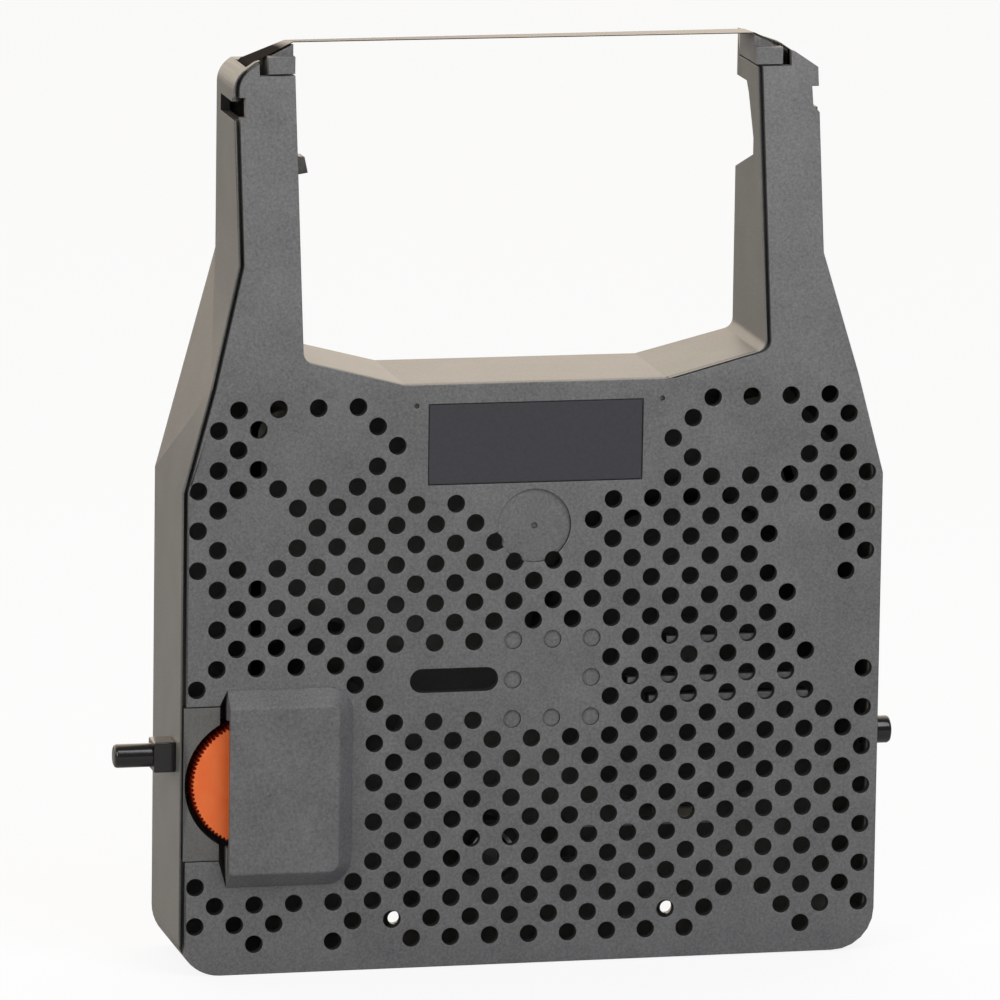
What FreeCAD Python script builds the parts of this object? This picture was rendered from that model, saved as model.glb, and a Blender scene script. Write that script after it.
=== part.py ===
import FreeCAD, Part
import Sketcher
import math
import os
import re

# Typewriter ribbon cartridge, in millimetres.
# +X is to the right of the perforated front, +Y runs from the front to the back, +Z is up.
# The cartridge stands on its bottom edge, with the origin at the middle of that edge.

SIZES = {
    # outline of the moulded base
    "housing_depth": 25.0,
    "half_width": 63.0,
    "shoulder_height": 86.5,
    "neck_height": 125.5,
    "arm_half_width": 52.5,
    "arm_outer_height": 157.5,
    "arm_step_x": 48.5,
    "arm_step_height": 160.2,
    "arm_inner_height": 162.6,
    "throat_half_width": 41.4,
    "throat_shoulder_height": 109.0,
    "throat_floor_half": 23.6,
    "throat_floor_height": 104.5,
    "corner_radius": 7.5,
    "shoulder_round": 4.5,
    "throat_round": 2.0,
    "taper_start": 104.5,
    "taper_slope": 0.2,
    # tips of the arms
    "tip_cut_rise": 0.3,
    "tip_film_room": 2.4,
    "tip_stem_length": 5.0,
    "tip_slope": 0.5,
    "tip_wing": 0.8,
    "tip_step_height": 3.0,
    "tip_ledge": 0.3,
    "latch_drop": 3.3,
    "latch_height": 3.4,
    "latch_reach": 11.5,
    "latch_bite": 1.0,
    "lug_height": 143.7,
    "lug_reach": 2.1,
    "lug_front": 9.5,
    "lug_back": 13.0,
    "window_top": 154.2,
    "window_corner": 152.3,
    "window_waist": 142.3,
    "window_bottom": 137.5,
    "window_lip": 7.0,
    "window_neck": 8.6,
    "window_deep": 13.8,
    # walls
    "base_wall": 1.6,
    "back_plate": 1.6,
    "cover_plate": 1.6,
    "cover_inset": 1.1,
    "cover_rim": 0.35,
    "plate_gap": 0.2,
    "plate_side_gap": 0.3,
    # perforation of the cover
    "hole_radius": 1.55,
    "hole_pitch": 5.0,
    "hole_row_start": 30.2,
    "hole_edge_margin": 2.7,
    # label recess
    "label_width": 38.2,
    "label_height": 14.1,
    "label_bottom": 86.8,
    "label_recess": 0.5,
    "label_thickness": 0.3,
    # gate pocket and dimples
    "gate_radius": 6.5,
    "gate_height": 78.9,
    "gate_recess": 0.4,
    "dimple_recess": 0.7,
    # slot in the cover
    "slot_left": -22.0,
    "slot_right": -6.2,
    "slot_height": 51.7,
    "slot_width": 4.2,
    "ramp_depth": 0.8,
    "ramp_run": 1.8,
    # vents in the back plate
    "vent_radius": 1.2,
    "vent_height": 3.5,
    "left_vent_x": -19.2,
    "right_vent_x": 30.8,
    # stiffening ribs behind the cover
    "rib_right": 50.5,
    "rib_height": 49.6,
    "rib_width": 1.2,
    "rib_rise": 3.0,
    # hood over the thumb wheel
    "hood_left": -54.6,
    "hood_right": -32.3,
    "hood_bottom": 15.9,
    "hood_top": 51.2,
    "hood_rise": 3.0,
    "hood_wall": 1.2,
    "hood_bevel": 2.9,
    "hood_corner": 3.5,
    # thumb plate beside the hood
    "thumb_plate_bottom": 20.8,
    "thumb_plate_top": 48.2,
    "thumb_plate_gap": 1.3,
    # drive
    "drive_x": -49.8,
    "drive_height": 34.4,
    "wheel_radius": 11.5,
    "wheel_width": 4.0,
    "wheel_proud": 0.3,
    "wheel_gap": 0.85,
    "knurl_depth": 0.5,
    "shaft_radius": 3.2,
    "socket_radius": 1.8,
    "socket_depth": 6.0,
    "drive_roller_radius": 7.5,
    "spike_depth": 0.8,
    # ribbon
    "ribbon_width": 8.0,
    "ribbon_middle": 4.5,
    "ribbon_thickness": 0.15,
    "ribbon_height": 163.35,
    "ribbon_side_gap": 0.3,
    # spools
    "supply_x": 31.5,
    "supply_height": 52.0,
    "supply_roll_radius": 27.5,
    "core_radius": 9.0,
    "core_bore": 4.0,
    "takeup_roll_radius": 12.5,
    "takeup_bearing": 34.6,
    "axle_radius": 3.0,
    # take-up arm
    "pivot_x": -5.5,
    "pivot_height": 18.9,
    "pivot_radius": 3.0,
    "hub_radius": 5.5,
    "lever_thickness": 2.0,
    "lever_half_height": 3.4,
    "spring_wire": 0.7,
    # guide rollers
    "guide_x": 42.5,
    "guide_height": 93.8,
    "guide_radius": 3.5,
    "guide_flange": 4.6,
    "guide_flange_width": 0.6,
    "guide_pin_radius": 1.0,
    # pivot pins on the two sides
    "pin_height": 38.8,
    "pin_depth": 6.2,
    "left_pin_radius": 2.1,
    "left_pin_length": 10.7,
    "collar_side": 5.4,
    "collar_length": 3.9,
    "right_pin_radius": 2.45,
    "right_pin_length": 3.8,
    # fits
    "running_gap": 0.05,
    "seat_gap": 0.3,
}

doc = FreeCAD.newDocument("ribbon_cartridge")
sheet = doc.addObject("Spreadsheet::Sheet", "Sizes")
for row, (alias, value) in enumerate(SIZES.items(), start=1):
    sheet.set("A%d" % row, alias)
    sheet.set("B%d" % row, str(value))
    sheet.setAlias("B%d" % row, alias)
doc.recompute()

FRONT = "(-housing_depth / 2)"
BACK = "(housing_depth / 2)"
COVER_INSIDE = "(-housing_depth / 2 + cover_plate)"
PLATE_INSIDE = "(housing_depth / 2 - back_plate)"
FILM_FRONT = "(ribbon_middle - ribbon_width / 2)"
FILM_BACK = "(ribbon_middle + ribbon_width / 2)"
CLEAR = 6.0
TOP = 175.0


def size(alias):
    return float(sheet.get(alias))


def in_sheet(word):
    return "Sizes." + word.group(0) if word.group(0) in SIZES else word.group(0)


def formula(text):
    return re.sub(r"[a-z][a-z_]+", in_sheet, str(text))


def bind(thing, **properties):
    for name, text in properties.items():
        thing.setExpression(name.replace("__", "."), formula(text))


def fill_sketch(sketch, corners):
    # A closed polygon whose every corner is tied to the sheet by its two distances from the origin.
    count = len(corners)
    start = [FreeCAD.Vector(50 * math.cos(2 * math.pi * n / count), 50 * math.sin(2 * math.pi * n / count), 0)
             for n in range(count)]
    for n in range(count):
        sketch.addGeometry(Part.LineSegment(start[n], start[(n + 1) % count]), False)
    for n in range(count):
        sketch.addConstraint(Sketcher.Constraint("Coincident", n, 2, (n + 1) % count, 1))
    for n, (across, up) in enumerate(corners):
        for kind, text, value in (("DistanceX", across, start[n].x), ("DistanceY", up, start[n].y)):
            index = sketch.addConstraint(Sketcher.Constraint(kind, -1, 1, n, 1, value))
            sketch.setExpression("Constraints[%d]" % index, formula(text))


FACING = {
    "front": FreeCAD.Rotation(FreeCAD.Vector(1, 0, 0), 90),
    "side": FreeCAD.Rotation(FreeCAD.Vector(1, 1, 1), 120),
}


def outline(name, facing, corners):
    sketch = doc.addObject("Sketcher::SketchObject", name)
    sketch.Placement = FreeCAD.Placement(FreeCAD.Vector(), FACING[facing])
    fill_sketch(sketch, corners)
    return sketch


def slab(name, profile, start, end):
    # A front outline runs from depth start to end along +Y, a side outline from start to end along +X.
    solid = doc.addObject("Part::Extrusion", name)
    solid.Base = profile
    solid.DirMode = "Normal"
    solid.Solid = True
    if profile.Placement.Rotation.isSame(FACING["side"], 1e-6):
        bind(solid, LengthFwd=end, LengthRev="-(%s)" % start)
    else:
        bind(solid, LengthFwd="-(%s)" % start, LengthRev=end)
    return solid


def block(name, x, y, z):
    # A box between its two corners, each given as a pair of formulas per direction.
    box = doc.addObject("Part::Box", name)
    bind(box, Placement__Base__x=x[0], Placement__Base__y=y[0], Placement__Base__z=z[0])
    bind(box, Length="(%s) - (%s)" % (x[1], x[0]), Width="(%s) - (%s)" % (y[1], y[0]),
         Height="(%s) - (%s)" % (z[1], z[0]))
    return box


def rod(name, radius, x, y, z):
    # A round bar along +Y, from depth y[0] to y[1].
    bar = doc.addObject("Part::Cylinder", name)
    bar.Placement = FreeCAD.Placement(FreeCAD.Vector(), FreeCAD.Rotation(FreeCAD.Vector(1, 0, 0), -90))
    bind(bar, Radius=radius, Height="(%s) - (%s)" % (y[1], y[0]))
    bind(bar, Placement__Base__x=x, Placement__Base__y=y[0], Placement__Base__z=z)
    return bar


def cross_rod(name, radius, x, y, z):
    # A round bar along +X, from x[0] to x[1].
    bar = doc.addObject("Part::Cylinder", name)
    bar.Placement = FreeCAD.Placement(FreeCAD.Vector(), FreeCAD.Rotation(FreeCAD.Vector(0, 1, 0), 90))
    bind(bar, Radius=radius, Height="(%s) - (%s)" % (x[1], x[0]))
    bind(bar, Placement__Base__x=x[0], Placement__Base__y=y, Placement__Base__z=z)
    return bar


def joined(name, pieces):
    fusion = doc.addObject("Part::MultiFuse", name)
    fusion.Shapes = pieces
    return fusion


def less(name, base, tools):
    cut = doc.addObject("Part::Cut", name)
    cut.Base = base
    cut.Tool = tools[0] if len(tools) == 1 else joined(name + "_tools", tools)
    return cut


def shared(name, pieces):
    common = doc.addObject("Part::MultiCommon", name)
    common.Shapes = pieces
    return common


def rounded(name, solid, radius, chosen):
    # Rounds the edges along +Y whose middle the test accepts.
    doc.recompute()
    fillet = doc.addObject("Part::Fillet", name)
    fillet.Base = solid
    edges = []
    for number, edge in enumerate(solid.Shape.Edges, start=1):
        ends = [vertex.Point for vertex in edge.Vertexes]
        if len(ends) == 2 and abs(ends[0].x - ends[1].x) + abs(ends[0].z - ends[1].z) < 1e-6:
            if chosen((ends[0] + ends[1]) * 0.5):
                edges.append((number, radius, radius))
    fillet.Edges = edges
    return fillet


def turned(label, profile, x, z):
    # A body of revolution about a line along +Y: each profile corner is a radius and a depth.
    body = doc.addObject("PartDesign::Body", label)
    plane = next(item for item in body.Origin.OriginFeatures if item.Role == "XY_Plane")
    sketch = body.newObject("Sketcher::SketchObject", label + "_profile")
    sketch.AttachmentSupport = [(plane, "")]
    sketch.MapMode = "FlatFace"
    fill_sketch(sketch, profile)
    spin = body.newObject("PartDesign::Revolution", label + "_turn")
    spin.Profile = sketch
    spin.ReferenceAxis = (sketch, ["V_Axis"])
    spin.Angle = 360
    bind(body, Placement__Base__x=x, Placement__Base__z=z)
    return body


def notched(body, label, corners, start, end, count):
    # Cuts one notch across the rim and repeats it round the axis.
    plane = next(item for item in body.Origin.OriginFeatures if item.Role == "XZ_Plane")
    sketch = body.newObject("Sketcher::SketchObject", label + "_notch")
    sketch.AttachmentSupport = [(plane, "")]
    sketch.MapMode = "FlatFace"
    fill_sketch(sketch, corners)
    pocket = body.newObject("PartDesign::Pocket", label + "_cut")
    pocket.Profile = sketch
    pocket.Type = "ThroughAll"
    pocket.Midplane = True
    doc.recompute()
    pattern = body.newObject("PartDesign::PolarPattern", label + "_teeth")
    pattern.Originals = [pocket]
    axis = next(item for item in body.Origin.OriginFeatures if item.Role == "Y_Axis")
    pattern.Axis = (axis, [""])
    pattern.Angle = 360
    pattern.Occurrences = count
    body.Tip = pattern
    return body


def finished(label, thing):
    thing.Label = label
    return thing


# Outline of the housing, mirrored about the middle plane
def housing_corners():
    right = [
        ("half_width", "0"),
        ("half_width", "shoulder_height"),
        ("arm_half_width", "neck_height"),
        ("arm_half_width", "arm_outer_height"),
        ("arm_step_x", "arm_step_height"),
        ("throat_half_width", "arm_inner_height"),
        ("throat_half_width", "throat_shoulder_height"),
        ("throat_floor_half", "throat_floor_height"),
    ]
    return right + [("-" + across, up) for across, up in reversed(right)]


def front_profile(shift, rise=TOP):
    # Everything in front of the cover's face, moved back by shift: the face slopes back on the arms.
    lean = "taper_slope * (%g - taper_start)" % rise
    return [
        ("%s - %g" % (FRONT, CLEAR), "-%g" % CLEAR),
        ("%s + %s" % (FRONT, shift), "-%g" % CLEAR),
        ("%s + %s" % (FRONT, shift), "taper_start"),
        ("%s + %s + %s" % (FRONT, shift, lean), "%g" % rise),
        ("%s - %g" % (FRONT, CLEAR), "%g" % rise),
    ]


def tip_depth(height):
    return "%s + taper_slope * (%s - taper_start)" % (FRONT, height)


def bottom_corner(point):
    return point.z < 1 and abs(point.x) > size("corner_radius")


def left_shoulder(point):
    return point.x < -size("arm_step_x") - 1 and point.z > size("arm_outer_height") - 2


def throat_corner(point):
    return abs(point.z - size("throat_shoulder_height")) < 1 and abs(point.x) > size("throat_floor_half") + 1


def housing_slab(name, shift, round_feet):
    # The outline through the full depth, moved to the right by shift.
    profile = outline(name + "_outline", "front", housing_corners())
    bind(profile, Placement__Base__x=shift)
    raw = slab(name + "_raw", profile, FRONT, BACK)
    throat = rounded(name + "_throat", raw, size("throat_round"), throat_corner)
    shoulder = rounded(name + "_shoulder", throat, size("shoulder_round"), left_shoulder)
    return rounded(name + "_feet", shoulder, size("corner_radius"), bottom_corner) if round_feet else shoulder


def base_shell():
    # Moving the outline to the right leaves a rim only along the walls that face left.
    whole = housing_slab("base_block", "0", True)
    seat_block = housing_slab("seat_block", "cover_rim", False)
    seat_side = slab("seat_side", outline("seat_side_outline", "side", front_profile("cover_plate")), "-80", "80")
    seat = shared("cover_seat", [seat_block, seat_side])
    face_side = slab("face_side", outline("face_side_outline", "side", front_profile("0")), "-80", "80")
    inner_wire = doc.addObject("Part::Offset2D", "inner_outline")
    inner_wire.Source = doc.getObject("base_block_outline")
    inner_wire.Join = "Intersection"
    bind(inner_wire, Value="-base_wall")
    hollow = slab("hollow", inner_wire, FRONT + " - 1", PLATE_INSIDE)
    return less("base_shell", whole, [seat, face_side, hollow])


def tip_openings():
    # The film leaves each arm through a slot across its sloping top.
    cuts = []
    for side, low, high in (("left", "-(arm_half_width - base_wall - 1)", "-(throat_half_width + base_wall)"),
                            ("right", "throat_half_width + base_wall", "arm_half_width - base_wall - 1")):
        cuts.append(block(side + "_film_slot", (low, high),
                          (FILM_FRONT + " - 0.7", FILM_BACK + " + 0.7"), ("arm_outer_height - 6", TOP)))
    for side, low, high in (("left", "-(arm_step_x - tip_wing)", "-(throat_half_width - 1)"),
                            ("right", "throat_half_width - 1", "arm_step_x - tip_wing")):
        cuts.append(block(side + "_tip_cut", (low, high),
                          (FRONT, PLATE_INSIDE), ("arm_outer_height + tip_cut_rise", TOP)))
    return cuts


def latch_notches(name, left_bite, right_bite):
    # A latching notch near the top of each arm's outer wall.
    low, high = "arm_outer_height - latch_drop - latch_height", "arm_outer_height - latch_drop"
    depth = (FRONT, FRONT + " + latch_reach")
    return [
        block(name + "_left", ("-arm_half_width - 1", "-arm_half_width + " + left_bite), depth, (low, high)),
        block(name + "_right", ("arm_half_width - " + right_bite, "arm_half_width + 1"), depth, (low, high)),
    ]


def arm_window():
    # The right arm's inner wall and back plate are cut away behind the film.
    corners = [
        (BACK + " + 1", "window_top"),
        (BACK + " - window_lip", "window_top"),
        (BACK + " - window_neck", "window_corner"),
        (BACK + " - window_deep", "window_waist"),
        (BACK + " + 1", "window_bottom"),
    ]
    return slab("arm_window", outline("arm_window_outline", "side", corners), "throat_half_width - 1",
                "throat_half_width + 2 * base_wall")


def side_lug():
    # A small hook on the left arm's inner wall.
    corners = [
        ("-throat_half_width - 1", "lug_height + 0.3"),
        ("-throat_half_width + lug_reach - 0.6", "lug_height"),
        ("-throat_half_width + lug_reach", "lug_height - 2.8"),
        ("-throat_half_width - 1", "lug_height - 3.3"),
    ]
    profile = outline("left_lug_outline", "front", corners)
    return slab("left_lug", profile, FRONT + " + lug_front", FRONT + " + lug_back")


def thumb_plate():
    # A plate beside the hood, level with the cover, with a round bay for the wheel.
    room = rod("wheel_room", "wheel_radius + wheel_gap", "drive_x", (FRONT + " - 1", FRONT + " + wheel_width + 1"),
               "drive_height")
    plate = block("thumb_plate_block", ("-half_width + cover_rim + plate_side_gap", "hood_left - thumb_plate_gap"),
                  (FRONT, COVER_INSIDE + " + 0.5"), ("thumb_plate_bottom", "thumb_plate_top"))
    return less("thumb_plate", plate, [room])


def pin_bore(name, radius, sign):
    ends = ["half_width - base_wall - 0.5", "half_width + 1"]
    if sign < 0:
        ends = ["-(%s)" % end for end in reversed(ends)]
    return cross_rod(name, radius + " + running_gap", ends, FRONT + " + pin_depth", "pin_height")


def post(name, radius, x, z, front):
    # A post on the back plate, reaching forward to the given depth.
    return rod(name, radius, x, (front, PLATE_INSIDE + " + 0.2"), z)


def base_housing():
    shell = base_shell()
    posts = [
        post("supply_post", "core_bore - running_gap", "supply_x", "supply_height", FILM_FRONT + " - 1.5"),
        post("supply_seat", "core_bore + 2.5", "supply_x", "supply_height", FILM_BACK + " + 0.3 + seat_gap"),
        post("arm_post", "pivot_radius - running_gap", "pivot_x", "pivot_height", FILM_FRONT + " - 7.5"),
        post("arm_seat", "pivot_radius + 2", "pivot_x", "pivot_height", FILM_FRONT + " - 1 + seat_gap"),
        post("drive_boss", "shaft_radius + 2", "drive_x", "drive_height", FILM_BACK + " + seat_gap"),
        post("left_guide_boss", "guide_pin_radius + 1.4", "-guide_x", "guide_height",
             FILM_BACK + " + ribbon_side_gap + guide_flange_width + seat_gap"),
        post("right_guide_boss", "guide_pin_radius + 1.4", "guide_x", "guide_height",
             FILM_BACK + " + ribbon_side_gap + guide_flange_width + seat_gap"),
        block("brake_lug", ("supply_x - 24", "supply_x - 22"), (FILM_FRONT + " - 2", PLATE_INSIDE + " + 0.2"),
              ("supply_height - supply_roll_radius - 8", "supply_height - supply_roll_radius - 1.5")),
    ]
    bores = [
        rod("drive_bearing", "shaft_radius + running_gap", "drive_x", (FILM_BACK + " - 1", BACK + " + 1"),
            "drive_height"),
        rod("left_vent", "vent_radius", "left_vent_x", (PLATE_INSIDE + " - 1", BACK + " + 1"), "vent_height"),
        rod("right_vent", "vent_radius", "right_vent_x", (PLATE_INSIDE + " - 1", BACK + " + 1"), "vent_height"),
        pin_bore("left_pin_bore", "left_pin_radius", -1),
        pin_bore("right_pin_bore", "right_pin_radius", 1),
    ]
    room = rod("wheel_wall_room", "wheel_radius + wheel_gap - 0.15", "drive_x",
               (COVER_INSIDE + " - 0.1", FRONT + " + wheel_width + 0.6"), "drive_height")
    carried = joined("base_with_posts", [shell, thumb_plate(), side_lug()] + posts)
    cuts = bores + [room, arm_window()] + tip_openings() + latch_notches("base_latch", "base_wall", "base_wall")
    return finished("base_housing", less("base_finished", carried, cuts))


# Solid lands in the perforation, over the posts and ribs behind: middle x, middle height, half sizes
def lands():
    step = size("hole_pitch") / math.sqrt(2)
    foot = size("hole_row_start")
    blank = [
        (0, size("label_bottom") + size("label_height") / 2, size("label_width") / 2 + step, 9.2),
        (-size("guide_x") + step, size("guide_height"), 2.6 * step, 1.6 * step),
        (size("guide_x") - step, size("guide_height"), 2.6 * step, 1.6 * step),
        (-14 * step, foot + 14 * step, 1.6 * step, 1.6 * step),
        (-17 * step, foot + 9 * step, 0.5 * step, 1.4 * step),
        ((size("slot_left") + size("slot_right")) / 2 - 2, size("slot_height"), 3.1 * step, 1.6 * step),
        (step, foot + 6 * step, 2.5 * step, 2.5 * step),
        (0, size("gate_height") + 1.3 * step, 2.5 * step, 0.5 * step),
        (0, size("gate_height") + 0.3 * step, 1.5 * step, 0.5 * step),
        (step, size("gate_height") - 0.7 * step, 1.5 * step, 0.5 * step),
        (13 * step, foot + 13 * step, 0.5 * step, 1.5 * step),
        (14.5 * step, foot + 11 * step, step, 2.5 * step),
        (16 * step, foot + 9 * step, 1.5 * step, 1.5 * step),
        (15.5 * step, foot + 6.2 * step, step, 1.8 * step),
        (-12 * step, foot - 7 * step, 0.5 * step, 0.5 * step),
        (-8 * step, foot - 7 * step, 0.5 * step, 0.5 * step),
        (11 * step, foot - 7 * step, 1.5 * step, 0.5 * step),
    ]
    for side in (-1, 1):
        blank.append((side * 7 * step, foot + 20 * step, 0.5 * step, 0.5 * step))
        blank.append((side * 11 * step, foot - 6 * step, 0.5 * step, 0.5 * step))
        blank.append((side * 16 * step, foot - 7 * step, 0.5 * step, 0.5 * step))
    return blank


def near_hood(x, z):
    # Distance outside the hood's rounded rectangle, or the thumb plate's, less than the hole needs.
    corner = size("hood_corner")
    gap_x = max(size("hood_left") - x, x - (size("hood_right") - corner), 0)
    gap_z = max(size("hood_bottom") + corner - z, z - (size("hood_top") - corner), 0)
    if math.hypot(gap_x, gap_z) - corner < size("hole_radius"):
        return True
    low = size("thumb_plate_bottom") - size("hole_radius")
    high = size("thumb_plate_top") + size("hole_radius")
    return x < size("hood_left") and low < z < high


def inside_cover(x, z):
    margin = size("hole_edge_margin")
    lean = (size("half_width") - size("arm_half_width")) / (size("neck_height") - size("shoulder_height"))
    edge = size("half_width") - max(z - size("shoulder_height"), 0) * lean
    return abs(x) < edge - margin and z > margin


def hole_places():
    # A square grid turned by 45 degrees: every second crossing of rows and columns one step apart.
    step = size("hole_pitch") / math.sqrt(2)
    blank = lands()
    columns = int(size("half_width") / step)
    places = []
    for row in range(-7, 21):
        for column in range(-columns, columns + 1):
            x = column * step
            z = size("hole_row_start") + row * step
            if (row + column) % 2 == 0 or not inside_cover(x, z) or near_hood(x, z):
                continue
            if z > size("taper_start") - size("hole_edge_margin"):
                continue
            if any(abs(x - land[0]) <= land[2] and abs(z - land[1]) <= land[3] for land in blank):
                continue
            places.append((x, z))
    return places


def dimple_places():
    step = size("hole_pitch") / math.sqrt(2)
    middle = (step, size("hole_row_start") + 6 * step)
    return [(middle[0] + 2 * step * across, middle[1] + 2 * step * up)
            for across in (-1, 0, 1) for up in (-1, 0, 1) if (across, up) != (0, 0)]


def drilled(name, places, start, end):
    # Eight-sided holes with two flats level.
    sides = 8
    solids = []
    for x, z in places:
        rim = [FreeCAD.Vector(x + size("hole_radius") * math.cos(math.pi * (2 * n + 1) / sides), start,
                              z + size("hole_radius") * math.sin(math.pi * (2 * n + 1) / sides))
               for n in range(sides)]
        face = Part.Face(Part.makePolygon(rim + rim[:1]))
        solids.append(face.extrude(FreeCAD.Vector(0, end - start, 0)))
    thing = doc.addObject("Part::Feature", name)
    thing.Shape = Part.makeCompound(solids)
    return thing


def hood_block(name, shrink):
    # A raised box with its free sides bevelled; the left end stays square, because it is open.
    left = "hood_left - %g" % (0 if shrink == "0" else 1)
    box = block(name + "_box", (left, "hood_right - (%s)" % shrink),
                (FRONT + " - hood_rise + (%s)" % shrink, COVER_INSIDE if shrink == "0" else COVER_INSIDE + " + 1"),
                ("hood_bottom + (%s)" % shrink, "hood_top - (%s)" % shrink))
    right = size("hood_right") - (0 if shrink == "0" else size("hood_wall"))
    soft = rounded(name + "_soft", box, size("hood_corner"), lambda point: abs(point.x - right) < 0.01)
    doc.recompute()
    bevel = doc.addObject("Part::Chamfer", name)
    bevel.Base = soft
    top = soft.Shape.BoundBox.YMin
    end = soft.Shape.BoundBox.XMin
    edges = []
    for number, edge in enumerate(soft.Shape.Edges, start=1):
        box_of = edge.BoundBox
        if abs(box_of.YMin - top) < 0.01 and abs(box_of.YMax - top) < 0.01 and box_of.XMax > end + 0.01:
            edges.append((number, size("hood_bevel"), size("hood_bevel")))
    bevel.Edges = edges
    return bevel


def perforated_cover():
    plate = housing_slab("cover_block", "0", True)
    reach = housing_slab("cover_reach", "cover_inset", False)
    behind = slab("behind_face", outline("behind_face_outline", "side", front_profile("cover_plate")), "-80", "80")
    ahead = slab("ahead_of_face", outline("ahead_of_face_outline", "side", front_profile("0")), "-80", "80")
    skin = less("cover_skin", shared("cover_front", [plate, reach, behind]), [ahead])
    ribs = [
        block(name, (left, right), (COVER_INSIDE + " - 0.2", COVER_INSIDE + " + rib_rise"),
              (foot, foot + " + rib_width"))
        for name, left, right, foot in (("upper_rib", "rib_right - 26", "rib_right - 10", "rib_height + 7.2"),
                                        ("middle_rib", "rib_right - 33", "rib_right", "rib_height"),
                                        ("lower_rib", "rib_right - 29", "rib_right", "rib_height - 3.4"))
    ]
    wheel_window = rod("wheel_window", "wheel_radius + wheel_gap", "drive_x",
                       (FRONT + " - 1", COVER_INSIDE + " + 1"), "drive_height")
    thumb_bay = block("thumb_bay", ("-half_width - 1", "hood_left"), (FRONT + " - 1", COVER_INSIDE + " + 1"),
                      ("thumb_plate_bottom - plate_gap", "thumb_plate_top + plate_gap"))
    wedges = []
    for name, root, tip in (("upper_wedge", "thumb_plate_top + plate_gap", "hood_top"),
                            ("lower_wedge", "thumb_plate_bottom - plate_gap", "hood_bottom")):
        corners = [("hood_left - thumb_plate_gap", root), ("hood_left", root), ("hood_left", tip)]
        wedges.append(slab(name, outline(name + "_outline", "front", corners), FRONT + " - 1", COVER_INSIDE + " + 1"))
    slot_middle = block("slot_middle", ("slot_left + slot_width / 2", "slot_right - slot_width / 2"),
                        (FRONT + " - 1", COVER_INSIDE + " + 1"),
                        ("slot_height - slot_width / 2", "slot_height + slot_width / 2"))
    slot_ends = [rod("slot_end_%d" % n, "slot_width / 2", x, (FRONT + " - 1", COVER_INSIDE + " + 1"), "slot_height")
                 for n, x in enumerate(("slot_left + slot_width / 2", "slot_right - slot_width / 2"))]
    slot_ramp = slab("slot_ramp", outline("slot_ramp_outline", "front", [
        ("slot_right - slot_width", "slot_height - slot_width / 2"),
        ("slot_right", "slot_height - slot_width / 2 - 1.5"),
        ("slot_right + ramp_run", "slot_height - slot_width / 2 - 1.5"),
        ("slot_right + ramp_run", "slot_height + slot_width / 2 + 0.6"),
        ("slot_right - slot_width", "slot_height + slot_width / 2 + 0.6"),
    ]), FRONT + " - 1", FRONT + " + ramp_depth")
    recess = block("label_recess_box", ("-label_width / 2 - 0.1", "label_width / 2 + 0.1"),
                   (FRONT + " - 1", FRONT + " + label_recess"),
                   ("label_bottom - 0.1", "label_bottom + label_height + 0.1"))
    gate = rod("gate_pocket", "gate_radius", "0", (FRONT + " - 1", FRONT + " + gate_recess"), "gate_height")
    holes = drilled("perforation", hole_places(), -size("housing_depth") / 2 - 1,
                    -size("housing_depth") / 2 + size("cover_plate") + 1)
    dimples = drilled("dimples", dimple_places(), -size("housing_depth") / 2 - 1,
                      -size("housing_depth") / 2 + size("dimple_recess"))
    hood_outer = hood_block("hood_outer", "0")
    hood_inner = hood_block("hood_inner", "hood_wall")
    hood_hollow = shared("hood_hollow", [hood_inner, block("hood_hollow_box", ("hood_left - 2", "hood_right"),
                                                          (FRONT + " - hood_rise", COVER_INSIDE + " + 1"),
                                                          ("hood_bottom", "hood_top"))])
    tips = [block("cover_tip_%s" % side, span, (FRONT, BACK), ("arm_outer_height + tip_cut_rise", TOP))
            for side, span in (("left", ("-(arm_step_x - tip_wing)", "-(throat_half_width - 1)")),
                               ("right", ("throat_half_width - 1", "arm_step_x - tip_wing")))]
    notches = latch_notches("cover_latch", "cover_inset + latch_bite", "latch_bite")
    cuts = [thumb_bay, slot_middle, slot_ramp, recess, gate, wheel_window_cut(wheel_window)] + wedges
    body = less("cover_body", joined("cover_with_hood", [skin, hood_outer] + ribs), cuts + slot_ends + tips + notches)
    hollowed = less("cover_hollowed", body, [hood_hollow])
    pierced = less("cover_pierced", hollowed, [dimples])
    return finished("perforated_cover", less("cover_finished", pierced, [holes]))


def wheel_window_cut(window):
    # The wheel's round window stops at the hood's left edge; the hollow hood covers the rest.
    keep = block("wheel_window_keep", ("drive_x - 30", "hood_left"), (FRONT + " - 1", COVER_INSIDE + " + 1"),
                 ("drive_height - 30", "drive_height + 30"))
    return shared("wheel_window_side", [window, keep])


def blank_label():
    label = block("label_film", ("-label_width / 2", "label_width / 2"),
                  (FRONT + " + label_recess - label_thickness", FRONT + " + label_recess"),
                  ("label_bottom", "label_bottom + label_height"))
    return finished("blank_label", label)


# Drive: thumb wheel, shaft and spiked roller turn together
def thumb_wheel():
    face = FRONT + " - wheel_proud"
    body = turned("thumb_wheel", [
        ("shaft_radius", face + " + 0.4"),
        ("wheel_radius - 2.4", face + " + 0.4"),
        ("wheel_radius - 2.0", face),
        ("wheel_radius", face),
        ("wheel_radius", face + " + wheel_width"),
        ("shaft_radius", face + " + wheel_width"),
    ], "drive_x", "drive_height")
    return finished("thumb_wheel", notched(body, "knurl", [
        ("-0.35", "-wheel_radius - 0.3"),
        ("0.35", "-wheel_radius - 0.3"),
        ("0", "-wheel_radius + knurl_depth"),
    ], face, face + " + wheel_width", 44))


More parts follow.
